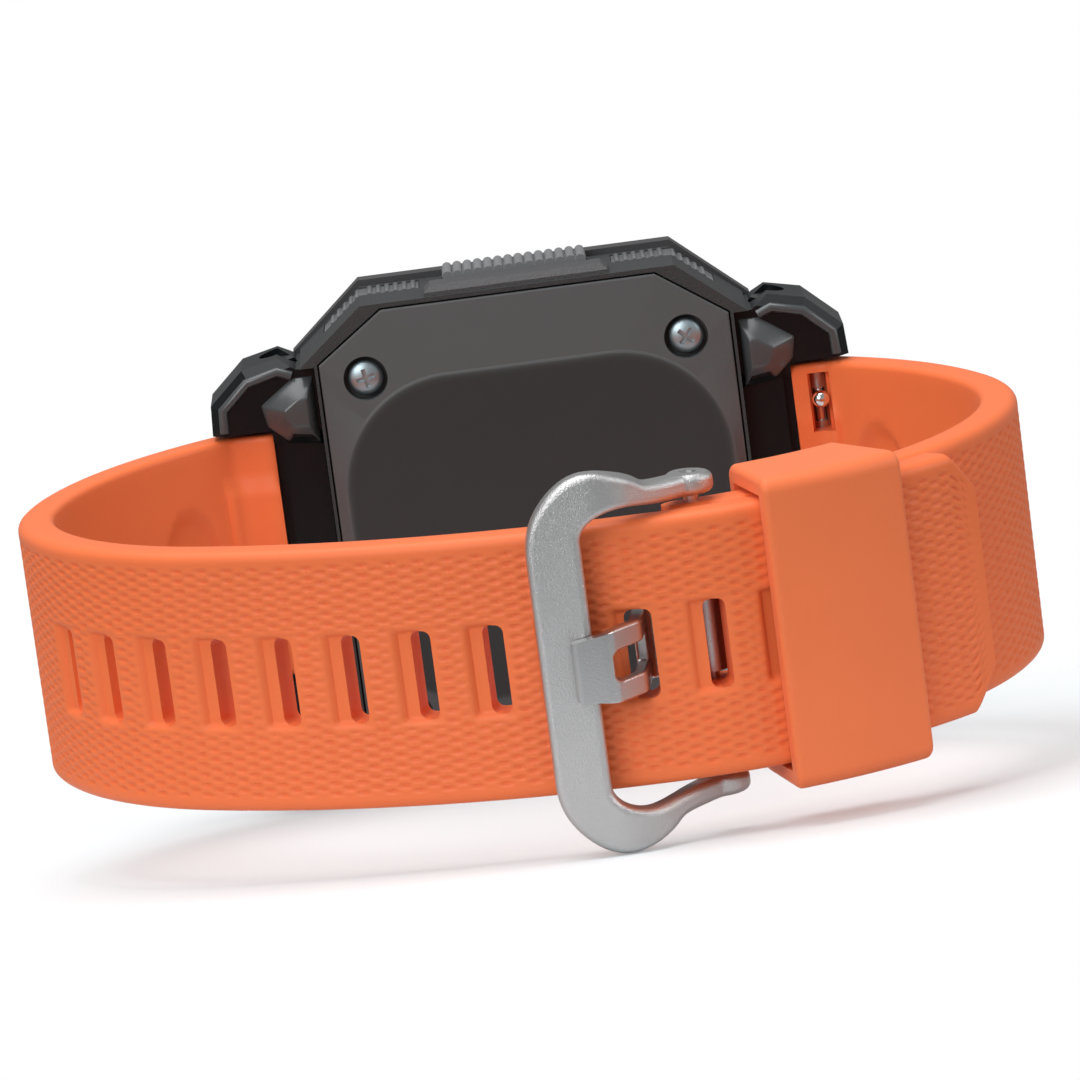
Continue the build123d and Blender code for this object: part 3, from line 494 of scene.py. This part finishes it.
@dataclass
class ArcPath:
    """A chain of tangent arcs in the loop's plane, walked by length."""

    start: tuple[float, float]
    heading: float
    turn: Turn
    arcs: list[tuple[float, float]]
    end: tuple[float, float]
    pieces: list[tuple[float, float, float, float, float]] = field(default_factory=list)

    def __post_init__(self) -> None:
        """Lays out the arcs, the last one ending at the end point."""
        x, y, heading = *self.start, math.radians(self.heading)
        way = self.turn.value
        runs = [(radius, math.radians(sweep)) for radius, sweep in self.arcs]
        distance = 0.0
        for radius, sweep in runs:
            self.pieces.append((distance, x, y, heading, radius))
            x, y, heading = self._advance(x, y, heading, radius, radius * sweep)
            distance += radius * sweep
        chord = math.hypot(self.end[0] - x, self.end[1] - y)
        toward = math.atan2(self.end[1] - y, self.end[0] - x)
        half = (way * (toward - heading)) % (2 * math.pi)
        radius = chord / (2 * math.sin(half))
        self.pieces.append((distance, x, y, heading, radius))
        self.length = distance + radius * 2 * half

    def _advance(
        self, x: float, y: float, heading: float, radius: float, run: float
    ) -> tuple[float, float, float]:
        """Moves along one arc.

        Args:
            x: Start across.
            y: Start depth.
            heading: Direction at the start, in radians.
            radius: The arc's radius.
            run: Length to move.

        Returns:
            The new place and heading.
        """
        way = self.turn.value
        angle = run / radius
        centre_x = x - way * radius * math.sin(heading)
        centre_y = y + way * radius * math.cos(heading)
        turned = heading + way * angle
        return centre_x + way * radius * math.sin(turned), centre_y - way * radius * math.cos(turned), turned

    def at(self, distance: float) -> tuple[float, float, float]:
        """Returns the place and heading at a length from the start, straight on past the end."""
        chosen = self.pieces[0]
        for piece in self.pieces:
            if distance >= piece[0]:
                chosen = piece
        start, x, y, heading, radius = chosen
        inside = min(distance, self.length) - start
        x, y, heading = self._advance(x, y, heading, radius, inside)
        over = max(0.0, distance - self.length)
        return x + over * math.cos(heading), y + over * math.sin(heading), heading


def smoothstep(low: float, high: float, value: np.ndarray) -> np.ndarray:
    """Eases from 0 at low to 1 at high."""
    share = np.clip((value - low) / (high - low), 0, 1)
    return share * share * (3 - 2 * share)


@dataclass
class StrapHalf:
    """One half of the rubber strap, swept along its arcs with its moulded scale relief."""

    MIDWAY = -1.0  # marks a point half way through the thickness
    INNER = 1e-6  # tells the inner face, whose depths are negative, from the outer one

    name: str
    node: str
    path: ArcPath
    lug_side: int
    half_width: float = 9.8
    thick: float = 2.8
    lug_thick: float = 5.0
    lug_run: float = 4.6
    lug_end_x: float = 20.72
    outer_round: float = 0.75
    inner_round: float = 0.5
    border: float = 1.0
    step_along: float = 0.27
    step_across: float = 0.11
    cell_along: float = 2.16
    cell_across: float = 0.77
    relief: float = 0.17
    inner_columns: int = 26
    block_rise: float = 0.5
    thumb_depth: float = 0.7
    slots: tuple[float, ...] = ()
    slot_width: float = 2.0
    slot_length: float = 6.6
    slot_round: float = 0.6
    slot_trim: float = 0.4
    prong_slot: int = 2
    step_reach: float = 1.75
    step_depth: float = 0.42
    slot_sink: float = 0.12
    tip_corner: float = 0.0
    end_round: float = 0.0
    barrel: Optional[tuple[float, float]] = None
    barrel_slot: tuple[float, float] = (5.7, 6.7)
    release_z: tuple[float, float] = (4.3, 9.0)
    release_width: float = 1.3
    knob_width: float = 1.7
    knob_top: float = -0.15
    bar_x: float = 22.8
    bar_y: float = 1.6
    overrun: float = 1.6
    flat_run: float = 8.0

    def section(self) -> tuple[np.ndarray, np.ndarray, np.ndarray]:
        """Points of the closed cross-section.

        Returns:
            Share of the half width, depth share pieces and a mask that is 1 on the outer face.
        """
        flat = self.half_width - self.outer_round
        count = int(2 * flat / self.step_across)
        z = list(np.linspace(-flat, flat, count))
        deep = [0.0] * count
        top = [1.0] * count
        for k in range(1, 6):
            angle = math.radians(90 * k / 6)
            z.append(flat + self.outer_round * math.sin(angle))
            deep.append(self.outer_round * (1 - math.cos(angle)))
            top.append(0.0)
        inner_flat = self.half_width - self.inner_round
        z += [self.half_width] * 3
        deep += [self.outer_round, self.MIDWAY, -self.inner_round]
        top += [0.0] * 3
        for k in range(1, 5):
            angle = math.radians(90 * k / 4)
            z.append(inner_flat + self.inner_round * math.cos(angle))
            deep.append(-self.inner_round * (1 - math.sin(angle)) - self.INNER)
            top.append(0.0)
        inner = np.linspace(inner_flat, -inner_flat, self.inner_columns)[1:-1]
        z += list(inner)
        deep += [-self.INNER] * len(inner)
        top += [0.0] * len(inner)
        for k in range(4, 0, -1):
            angle = math.radians(90 * k / 4)
            z.append(-inner_flat - self.inner_round * math.cos(angle))
            deep.append(-self.inner_round * (1 - math.sin(angle)) - self.INNER)
            top.append(0.0)
        z += [-self.half_width] * 3
        deep += [-self.inner_round, self.MIDWAY, self.outer_round]
        top += [0.0] * 3
        for k in range(5, 0, -1):
            angle = math.radians(90 * k / 6)
            z.append(-flat - self.outer_round * math.sin(angle))
            deep.append(self.outer_round * (1 - math.cos(angle)))
            top.append(0.0)
        return np.array(z), np.array(deep), np.array(top)

    def dent(self, along: np.ndarray, across: np.ndarray) -> np.ndarray:
        """How far the outer face sinks below its plain surface.

        Args:
            along: Length along the strap.
            across: Height across the strap.

        Returns:
            The dent in millimetres.
        """
        wave = np.cos(2 * np.pi * along / self.cell_along) * np.cos(2 * np.pi * across / self.cell_across)
        scales = self.relief * smoothstep(-0.2, 0.8, -wave)
        edge = self.half_width - self.border
        end = self.path.length
        keep = 1 - smoothstep(edge - 0.35, edge, np.abs(across))
        keep *= smoothstep(0.9, 1.6, along) * (1 - smoothstep(end - 3.2, end - 2.2, along))
        hollow = np.zeros_like(along)
        for place in self.slots:
            beside = np.maximum(along - place - self.step_reach, place - along - self.slot_width / 2)
            above = np.abs(across) - self.slot_length / 2
            gap = np.hypot(np.clip(beside, 0, None), np.clip(above, 0, None))
            keep *= smoothstep(0.35, 0.8, gap)
            # soft hollow on the flank that faces the lug, and a rolled rim
            past = along - place
            lug_flank = smoothstep(-0.3, 0.0, past) * (1 - smoothstep(-0.3, 0.1, past - self.step_reach))
            hollow += self.step_depth * lug_flank * (1 - smoothstep(-0.2, 0.2, above))
            hollow += self.slot_sink * (1 - smoothstep(0.0, 0.5, gap))
        return scales * keep + hollow

    def rise(self, along: np.ndarray, across: np.ndarray) -> np.ndarray:
        """How far the inner face stands above its plain surface beside the lug.

        Args:
            along: Length along the strap.
            across: Height across the strap.

        Returns:
            The rise in millimetres.
        """
        back = self.path.length - along
        block = self.block_rise * (1 - smoothstep(5.0, 5.5, back))
        block *= 1 - smoothstep(5.8, 6.3, np.abs(across))
        oval = np.hypot((back - 9.6) / 3.4, across / 4.8)
        return block - self.thumb_depth * (1 - smoothstep(0.82, 1.0, oval))

    def build(self) -> bpy.types.Object:
        """Sweeps the section along the path, cuts the slots and dresses the piece."""
        z, deep, top = self.section()
        rows = np.arange(0, self.path.length + self.overrun, self.step_along)
        i, j = np.indices((len(rows), len(z)))
        track = np.array([self.path.at(s) for s in rows])
        s = rows[i]
        heading = track[i, 2]
        way = self.path.turn.value
        thick = self.thick + (self.lug_thick - self.thick) * smoothstep(
            self.path.length - self.lug_run, self.path.length - 1.2, s
        )
        half = np.full_like(s, self.half_width)
        if self.tip_corner:
            half = self.half_width - np.clip(self.tip_corner - s, 0, None) ** 1.15
        inner_face = (deep[j] < 0) & (deep[j] > -10 * self.INNER)
        depth = np.where(deep[j] >= 0, deep[j], thick + deep[j]) + inner_face * self.rise(s, z[j])
        depth = np.where(deep[j] == self.MIDWAY, thick / 2, depth)
        depth = depth + top[j] * self.dent(s, z[j])
        if self.end_round:
            short = np.clip(self.end_round - s, 0, None) / self.end_round
            depth = thick / 2 + (depth - thick / 2) * np.sqrt(np.clip(1 - short**2, 0.02, 1))
        x = self.lug_side * (track[i, 0] - way * np.sin(heading) * depth)
        y = track[i, 1] + way * np.cos(heading) * depth
        beyond = (s > self.path.length - self.flat_run) & (x < self.lug_end_x)
        x = self.lug_side * np.where(beyond, self.lug_end_x, x)
        piece = shell(np.stack([x, y, z[j] * half / self.half_width], -1))
        if self.slots:
            self.cut_slots(piece)
        if self.barrel:
            self.cut_barrel(piece)
        self.cut_release(piece)
        smooth_by_angle(piece, 42)
        dress(piece, "strap_rubber")
        seat(piece, self.name)
        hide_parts(self.node)
        return piece

    def cut_slots(self, piece: bpy.types.Object) -> None:
        """Cuts the buckle holes through the strap."""
        cutters = []
        for index, place in enumerate(self.slots):
            trim = 0.0 if index == self.prong_slot else self.slot_trim
            x, y, heading = self.path.at(place - trim / 2)
            way = self.path.turn.value
            deselect_all()
            bpy.ops.mesh.primitive_cube_add(size=1)
            cutter = bpy.context.object
            cutter.scale = (self.slot_width - trim, 3 * self.thick, self.slot_length)
            bpy.ops.object.transform_apply(location=False, rotation=False, scale=True)
            bevel = cutter.modifiers.new("round", "BEVEL")
            bevel.width = self.slot_round
            bevel.segments = 5
            bevel.limit_method = "WEIGHT"
            weights = cutter.data.attributes.new("bevel_weight_edge", "FLOAT", "EDGE")
            for edge in cutter.data.edges:
                a, b = (cutter.data.vertices[v].co for v in edge.vertices)
                weights.data[edge.index].value = 1.0 if abs(a.y - b.y) > 1 else 0.0
            apply_modifiers(cutter)
            mid = self.thick / 2
            cutter.location = (x - way * math.sin(heading) * mid, y + way * math.cos(heading) * mid, 0)
            cutter.rotation_euler = (0, 0, heading)
            cutters.append(cutter)
        subtract(piece, cutters)

    def cut_barrel(self, piece: bpy.types.Object) -> None:
        """Opens the buckle's end where the prong turns on its pin."""
        x, y = self.barrel
        width, height = self.barrel_slot
        subtract(piece, [box((x - 1.2, y, 0), (width, 8, height))])

    def cut_release(self, piece: bpy.types.Object) -> None:
        """Cuts the dark opening that the quick release knob slides in."""
        low, high = self.release_z
        middle = self.lug_side * (low + high) / 2
        for width, top in ((self.release_width, self.bar_y), (self.knob_width, self.knob_top)):
            subtract(piece, [box((self.lug_side * self.bar_x, top - 3, middle), (width, 6, high - low))])


@dataclass
class Strap:
    """Both halves of the strap, wound about the buckled loop's own arcs."""

    loop: tuple[float, float] = (7.0, -20.7)
    tip_radius: float = 32.8
    tip_angle: float = -42.0
    layer_gap: float = 0.15
    thick: float = 2.8
    pin_angle: float = -83.0
    buckle_end: float = 2.2
    lug_x: float = 21.9
    lug_y: float = 4.0
    slot_pitch: float = 5.4
    slot_start: float = 1.5
    slots_past_prong: int = 2
    slot_count: int = 12

    def build(self) -> None:
        """Builds the tip half and the buckle half."""
        shared = 90 + self.tip_angle
        angle = math.radians(self.tip_angle)
        start = (
            self.loop[0] + self.tip_radius * math.cos(angle),
            self.loop[1] + self.tip_radius * math.sin(angle),
        )
        tip_path = ArcPath(
            start,
            self.tip_angle - 90,
            Turn.RIGHT,
            [(self.tip_radius, shared), (65.0, 32.0), (27.3, 43.5), (19.0, 23.0)],
            (-self.lug_x, self.lug_y),
        )
        first = self.tip_radius * math.radians(shared) + self.slot_start
        slots = tuple(first + (k - self.slots_past_prong) * self.slot_pitch for k in range(self.slot_count))
        StrapHalf("tip_strap_skin", "tip_strap", tip_path, -1, slots=slots, tip_corner=2.4).build()
        radius = self.tip_radius - self.thick - self.layer_gap
        orbit = radius - self.thick / 2
        end_angle = self.pin_angle - math.degrees(self.buckle_end / orbit)
        angle = math.radians(end_angle)
        start = (self.loop[0] + radius * math.cos(angle), self.loop[1] + radius * math.sin(angle))
        buckle_path = ArcPath(
            start,
            end_angle + 90,
            Turn.LEFT,
            [(radius, -90 + 73.0 - end_angle), (24.6, 34.0)],
            (self.lug_x, self.lug_y),
        )
        pin = math.radians(self.pin_angle)
        barrel = (self.loop[0] + orbit * math.cos(pin), self.loop[1] + orbit * math.sin(pin))
        StrapHalf("buckle_strap_skin", "buckle_strap", buckle_path, 1, end_round=1.4, barrel=barrel).build()


# ---------------------------------------------------------------- back of the case
@dataclass
class BackCover:
    """Screwed back whose raised plateau has widely rounded corners and sloping flanks."""

    flat_x: float = 10.9
    half_z: float = 18.9
    half_x: float = 16.3
    corner_z: float = 15.1
    inner_y: float = -1.4
    edge_y: float = -2.9
    plateau: tuple[float, float] = (15.3, 13.2)
    plateau_round: float = 8.8
    top_y: float = -3.7
    screw: tuple[float, float] = (12.75, 13.7)
    recess: float = 1.75
    seat_y: float = -1.9

    def _octagon(self, x: np.ndarray, z: np.ndarray) -> np.ndarray:
        """Signed distance to the cover's outline."""
        slope = np.array([self.half_z - self.corner_z, self.half_x - self.flat_x])
        slope = slope / np.linalg.norm(slope)
        reach = slope @ np.array([self.flat_x, self.half_z])
        across = np.abs(x) * slope[0] + np.abs(z) * slope[1] - reach
        return np.maximum.reduce([np.abs(x) - self.half_x, np.abs(z) - self.half_z, across])

    def _plateau(self, x: np.ndarray, z: np.ndarray) -> np.ndarray:
        """Signed distance to the plateau's outline."""
        qx = np.abs(x) - self.plateau[0] + self.plateau_round
        qz = np.abs(z) - self.plateau[1] + self.plateau_round
        outside = np.hypot(np.maximum(qx, 0), np.maximum(qz, 0))
        return outside + np.minimum(np.maximum(qx, qz), 0) - self.plateau_round

    def _ring(
        self, shape: Callable[[np.ndarray, np.ndarray], np.ndarray], inset: float, y: float
    ) -> np.ndarray:
        """Points round one outline, found along rays from the middle.

        Args:
            shape: Signed distance of the outline.
            inset: How far inside it to go.
            y: Depth of the ring.

        Returns:
            The ring's points.
        """
        corners = [math.atan2(self.half_z, self.flat_x), math.atan2(self.corner_z, self.half_x)]
        angles = set(np.linspace(0, 2 * math.pi, 240, endpoint=False))
        for corner in corners:
            angles |= {corner, math.pi - corner, math.pi + corner, 2 * math.pi - corner}
        turn = np.array(sorted(angles))
        low, high = np.zeros_like(turn), np.full_like(turn, 40.0)
        for _ in range(40):
            middle = (low + high) / 2
            inside = shape(middle * np.cos(turn), middle * np.sin(turn)) < -inset
            low, high = np.where(inside, middle, low), np.where(inside, high, middle)
        return np.stack([low * np.cos(turn), np.full_like(turn, y), low * np.sin(turn)], 1)

    def build(self) -> None:
        """Lofts the cover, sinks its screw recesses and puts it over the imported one."""
        rings = [
            self._ring(self._octagon, 0.0, self.inner_y),
            self._ring(self._octagon, 0.0, self.edge_y + 0.12),
            self._ring(self._octagon, 0.04, self.edge_y + 0.04),
            self._ring(self._octagon, 0.12, self.edge_y),
            self._ring(self._plateau, -0.25, self.top_y + 0.16),
            self._ring(self._plateau, 0.0, self.top_y + 0.05),
            self._ring(self._plateau, 0.25, self.top_y + 0.01),
            self._ring(self._plateau, 0.6, self.top_y),
        ]
        piece = shell(np.array(rings))
        cutters = []
        for x in (-self.screw[0], self.screw[0]):
            for z in (-self.screw[1], self.screw[1]):
                deselect_all()
                bpy.ops.mesh.primitive_cylinder_add(
                    vertices=64, radius=self.recess, depth=4, location=(x, self.seat_y - 2, z),
                    rotation=(math.radians(90), 0, 0),
                )
                cutters.append(bpy.context.object)
        subtract(piece, cutters)
        smooth_by_angle(piece, 14)
        dress(piece, "cover_resin")
        seat(piece, "back_cover_skin")
        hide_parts("back_cover")


@dataclass
class Screws:
    """Four domed cross-head screws of the back."""

    places: tuple[float, float] = (12.75, 13.7)
    radius: float = 1.4
    dome: float = 0.62
    seat_y: float = -2.2
    rim: float = 0.35
    foot_y: float = 2.0
    shank: float = 0.7
    blade: tuple[float, float] = (1.5, 0.34)
    turns: tuple[float, ...] = (35.0, 12.0, 60.0, 48.0)

    def build(self) -> None:
        """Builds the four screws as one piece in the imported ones' place."""
        heads = []
        spots = [(x, z) for x in (-self.places[0], self.places[0]) for z in (-self.places[1], self.places[1])]
        for (x, z), turn in zip(spots, self.turns):
            heads.append(self._head(x, z, math.radians(turn)))
        deselect_all()
        for head in heads:
            head.select_set(True)
        bpy.context.view_layer.objects.active = heads[0]
        bpy.ops.object.join()
        piece = bpy.context.object
        smooth_by_angle(piece, 40)
        dress(piece, "screw_steel")
        seat(piece, "back_screws_skin")
        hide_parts("back_screws")

    def _head(self, x: float, z: float, turn: float) -> bpy.types.Object:
        """Turns one screw's profile and cuts its cross.

        Args:
            x: Place towards 12 o'clock.
            z: Place towards 3 o'clock.
            turn: Angle that the cross stopped at.

        Returns:
            The screw.
        """
        profile = [(self.shank, self.foot_y), (self.shank, self.seat_y), (self.radius, self.seat_y)]
        profile += [
            (self.radius * math.cos(math.radians(a)), self.seat_y - self.rim - self.dome * math.sin(math.radians(a)))
            for a in range(0, 88, 6)
        ]
        around = np.linspace(0, 2 * math.pi, 48, endpoint=False)
        rings = [
            np.stack([x + r * np.cos(around), np.full_like(around, y), z + r * np.sin(around)], 1)
            for r, y in profile
        ]
        head = shell(np.array(rings))
        top = self.seat_y - self.rim - self.dome
        long, wide = self.blade
        blades = [box((x, top, z), (a, 0.8, b)) for a, b in ((long, wide), (wide, long))]
        for blade in blades:
            select_only(blade)
            bpy.ops.transform.rotate(value=turn, orient_axis="Y", center_override=(x, top, z))
        for blade in blades:
            subtract(head, [blade])
        return head


@dataclass
class HornTrim:
    """Raised bands along the horns and faceted bosses beside the case, on the wrist side."""

    face_y: float = -1.5
    band_radius: float = 0.38
    boss_top_y: float = -3.1
    boss_share: float = 0.42
    band: tuple[tuple[float, float], ...] = (
        (24.45, 10.5), (24.35, 12.3), (22.2, 14.25), (19.7, 14.85), (18.6, 14.4),
    )
    boss: tuple[tuple[float, float], ...] = (
        (16.95, 14.2), (18.6, 14.2), (21.3, 12.3), (21.0, 10.6), (19.6, 9.3), (16.95, 8.9),
    )

    def build(self) -> None:
        """Builds the trims of the four horns."""
        for side, hour in ((1, "12"), (-1, "6")):
            for end, edge in ((1, "right"), (-1, "left")):
                self._band(side, end, f"horn_band_{hour}_{edge}")
                self._boss(side, end, f"horn_boss_{hour}_{edge}")

    def _band(self, side: int, end: int, name: str) -> None:
        """Lays one rounded band along a horn's edge."""
        deselect_all()
        bpy.ops.curve.primitive_bezier_curve_add()
        piece = bpy.context.object
        curve = piece.data
        curve.splines.clear()
        line = curve.splines.new("POLY")
        line.points.add(len(self.band) - 1)
        for point, (x, z) in zip(line.points, self.band):
            point.co = (side * x, self.face_y, end * z, 1)
        curve.dimensions = "3D"
        curve.bevel_depth = self.band_radius
        curve.bevel_resolution = 4
        curve.use_fill_caps = True
        select_only(piece)
        bpy.ops.object.convert(target="MESH")
        piece = bpy.context.object
        smooth_by_angle(piece, 35)
        # Painted highlight: the band takes the lighter copy of the horn's resin.
        dress(piece, "trim_resin_painted_highlight")
        seat(piece, name)

    def _boss(self, side: int, end: int, name: str) -> None:
        """Raises one faceted boss."""
        base = np.array(self.boss)
        middle = np.array([base[:, 0].min() + 1.2, base[:, 1].mean()])
        rings = []
        for share, y in ((1.0, self.face_y + 0.3), (1.0, self.face_y - 0.1), (self.boss_share, self.boss_top_y)):
            flat = middle + (base - middle) * share
            flat[:, 0] = np.maximum(flat[:, 0], base[:, 0].min())
            rings.append(np.stack([side * flat[:, 0], np.full(len(base), y), end * flat[:, 1]], 1))
        piece = shell(np.array(rings))
        bevel = piece.modifiers.new("soften", "BEVEL")
        bevel.width = 0.14
        bevel.segments = 3
        bevel.limit_method = "ANGLE"
        apply_modifiers(piece)
        smooth_by_angle(piece, 30)
        # Painted highlight: the boss takes the lighter copy of the horn's resin.
        dress(piece, "trim_resin_painted_highlight")
        seat(piece, name)


# ---------------------------------------------------------------- dial
@dataclass
class Dial:
    """Numbers on the minute ring and plain digits on the display."""

    ring_y: float = 6.11
    ring_radius: float = 13.4
    number_size: float = 1.0
    digit_size: float = 8.2
    display_y: float = 5.02
    depth: float = 0.04

    def text(
        self, words: str, size: float, x: float, z: float, y: float, name: str, finish: str
    ) -> None:
        """Makes one flat word that faces out through the dial.

        Args:
            words: The characters.
            size: Their height.
            x: Place towards 12 o'clock.
            z: Place towards 3 o'clock.
            y: Depth of the face that they lie on.
            name: The piece's name.
            finish: Key of the finish.
        """
        deselect_all()
        bpy.ops.object.text_add()
        piece = bpy.context.object
        piece.data.body = words
        piece.data.size = size
        piece.data.align_x = "CENTER"
        piece.data.align_y = "CENTER"
        piece.data.extrude = self.depth
        select_only(piece)
        bpy.ops.object.convert(target="MESH")
        piece = bpy.context.object
        right, up, out = Vector((0, 0, 1)), Vector((1, 0, 0)), Vector((0, 1, 0))
        turn = Matrix((right, up, out)).transposed().to_4x4()
        piece.matrix_world = Matrix.Translation((x, y, z)) @ turn
        piece.data.materials.clear()
        piece.data.materials.append(FINISHES[finish].material())
        seat(piece, name)

    def build(self) -> None:
        """Prints the ring's numbers and the display's digits."""
        for hour in range(12):
            angle = math.radians(30 * hour)
            minutes = 60 if hour == 0 else 5 * hour
            self.text(
                str(minutes), self.number_size, self.ring_radius * math.cos(angle),
                self.ring_radius * math.sin(angle), self.ring_y, f"minute_{minutes}", "marking_white",
            )
        self.text("10:08", self.digit_size, 0.4, 0, self.display_y, "time_digits", "segment_black")
        self.text("36", 3.6, -7.4, 3.2, self.display_y, "seconds_digits", "segment_black")
        self.text("6.30", 3.0, 7.6, 0, self.display_y, "date_digits", "segment_black")


# ---------------------------------------------------------------- studio
@dataclass
class Studio:
    """Camera, pale floor and soft light."""

    target: tuple[float, float, float] = (0.0, -25.0, 0.0)
    distance: float = 500.0
    elevation: float = 12.0
    roll: float = 7.5
    lens: float = 219.07
    shift: tuple[float, float] = (-0.01444, 0.03967)
    floor_tint: tuple[float, float, float, float] = (0.66, 0.70, 0.72, 1)
    floor_glow: float = 0.27
    floor_fade: tuple[float, float] = (0.05, 0.085)
    world_camera: float = 1.0
    world_light: float = 0.28

    def camera(self) -> None:
        """Sets the camera up in the watch's own frame."""
        rise = math.radians(self.elevation)
        tilt = math.radians(self.roll)
        back = Vector((0, -math.cos(rise), math.sin(rise)))
        right = Vector((1, 0, 0))
        up = (-back).cross(right) * -1
        axes = (
            right * math.cos(tilt) - up * math.sin(tilt),
            right * math.sin(tilt) + up * math.cos(tilt),
            back,
        )
        rows = [POSE.direction(*axis) for axis in axes]
        place = POSE.matrix() @ (Vector(self.target) + back * self.distance)
        data = bpy.data.cameras.new("camera")
        data.lens = self.lens
        data.sensor_width = 36
        data.shift_x, data.shift_y = self.shift
        data.clip_start = 0.01
        data.clip_end = 20
        camera = bpy.data.objects.new("camera", data)
        bpy.context.scene.collection.objects.link(camera)
        camera.matrix_world = Matrix.Translation(place) @ Matrix(rows).transposed().to_4x4()
        bpy.context.scene.camera = camera

    def floor(self) -> None:
        """Lays a white floor that keeps the watch's shadow."""
        deselect_all()
        bpy.ops.mesh.primitive_plane_add(size=0.6, location=(0, 0, -0.0001))
        floor = bpy.context.object
        floor.name = "floor"
        material = bpy.data.materials.new("floor_white")
        material.use_nodes = True
        nodes, links = material.node_tree.nodes, material.node_tree.links
        nodes.clear()
        out = nodes.new("ShaderNodeOutputMaterial")
        diffuse = nodes.new("ShaderNodeBsdfDiffuse")
        diffuse.inputs["Color"].default_value = self.floor_tint
        glow = nodes.new("ShaderNodeEmission")
        path = nodes.new("ShaderNodeLightPath")
        gain = nodes.new("ShaderNodeMath")
        gain.operation = "MULTIPLY"
        gain.inputs[1].default_value = self.floor_glow
        links.new(path.outputs["Is Camera Ray"], gain.inputs[0])
        links.new(gain.outputs[0], glow.inputs["Strength"])
        both = nodes.new("ShaderNodeAddShader")
        links.new(diffuse.outputs[0], both.inputs[0])
        links.new(glow.outputs[0], both.inputs[1])
        place = nodes.new("ShaderNodeTexCoord")
        reach = nodes.new("ShaderNodeVectorMath")
        reach.operation = "LENGTH"
        links.new(place.outputs["Object"], reach.inputs[0])
        fade = nodes.new("ShaderNodeMapRange")
        fade.interpolation_type = "SMOOTHSTEP"
        fade.inputs["From Min"].default_value = self.floor_fade[0]
        fade.inputs["From Max"].default_value = self.floor_fade[1]
        links.new(reach.outputs["Value"], fade.inputs["Value"])
        clear = nodes.new("ShaderNodeBsdfTransparent")
        mix = nodes.new("ShaderNodeMixShader")
        links.new(fade.outputs["Result"], mix.inputs["Fac"])
        links.new(both.outputs[0], mix.inputs[1])
        links.new(clear.outputs[0], mix.inputs[2])
        links.new(mix.outputs[0], out.inputs["Surface"])
        floor.data.materials.append(material)

    def world(self) -> None:
        """Surrounds the watch with white that lights it gently."""
        world = bpy.data.worlds.new("studio")
        bpy.context.scene.world = world
        world.use_nodes = True
        nodes, links = world.node_tree.nodes, world.node_tree.links
        background = nodes["Background"]
        background.inputs["Color"].default_value = (1, 1, 1, 1)
        path = nodes.new("ShaderNodeLightPath")
        strength = nodes.new("ShaderNodeMath")
        strength.operation = "MULTIPLY_ADD"
        strength.inputs[1].default_value = self.world_camera - self.world_light
        strength.inputs[2].default_value = self.world_light
        links.new(path.outputs["Is Camera Ray"], strength.inputs[0])
        links.new(strength.outputs[0], background.inputs["Strength"])

    def lamp(self, name: str, place: tuple[float, float, float], size: float, watts: float) -> None:
        """Adds a soft square lamp aimed at the watch.

        Args:
            name: The lamp's name.
            place: Where it hangs, in metres.
            size: Its side.
            watts: Its power.
        """
        data = bpy.data.lights.new(name, "AREA")
        data.energy = watts
        data.size = size
        lamp = bpy.data.objects.new(name, data)
        bpy.context.scene.collection.objects.link(lamp)
        lamp.location = place
        aim = Vector((0, 0, 0.02)) - Vector(place)
        lamp.rotation_euler = aim.to_track_quat("-Z", "Y").to_euler()

    def build(self) -> None:
        """Sets up the camera, the floor, the world and the lamps."""
        bpy.context.scene.view_settings.view_transform = "Standard"
        self.camera()
        self.floor()
        self.world()
        self.lamp("top_lamp", (-0.15, -0.1, 0.9), 0.8, 7.0)
        self.lamp("front_lamp", (-0.5, -0.9, 0.45), 0.6, 5.2)
        self.lamp("right_lamp", (0.8, -0.2, 0.4), 0.5, 2.0)


def main() -> None:
    """Builds the watch's looks in order."""
    logging.basicConfig(level=logging.INFO, format="%(name)s %(message)s")
    dress_nodes()
    BackCover().build()
    Screws().build()
    HornTrim().build()
    Strap().build()
    Dial().build()
    Studio().build()


if __name__ == "__main__":
    main()
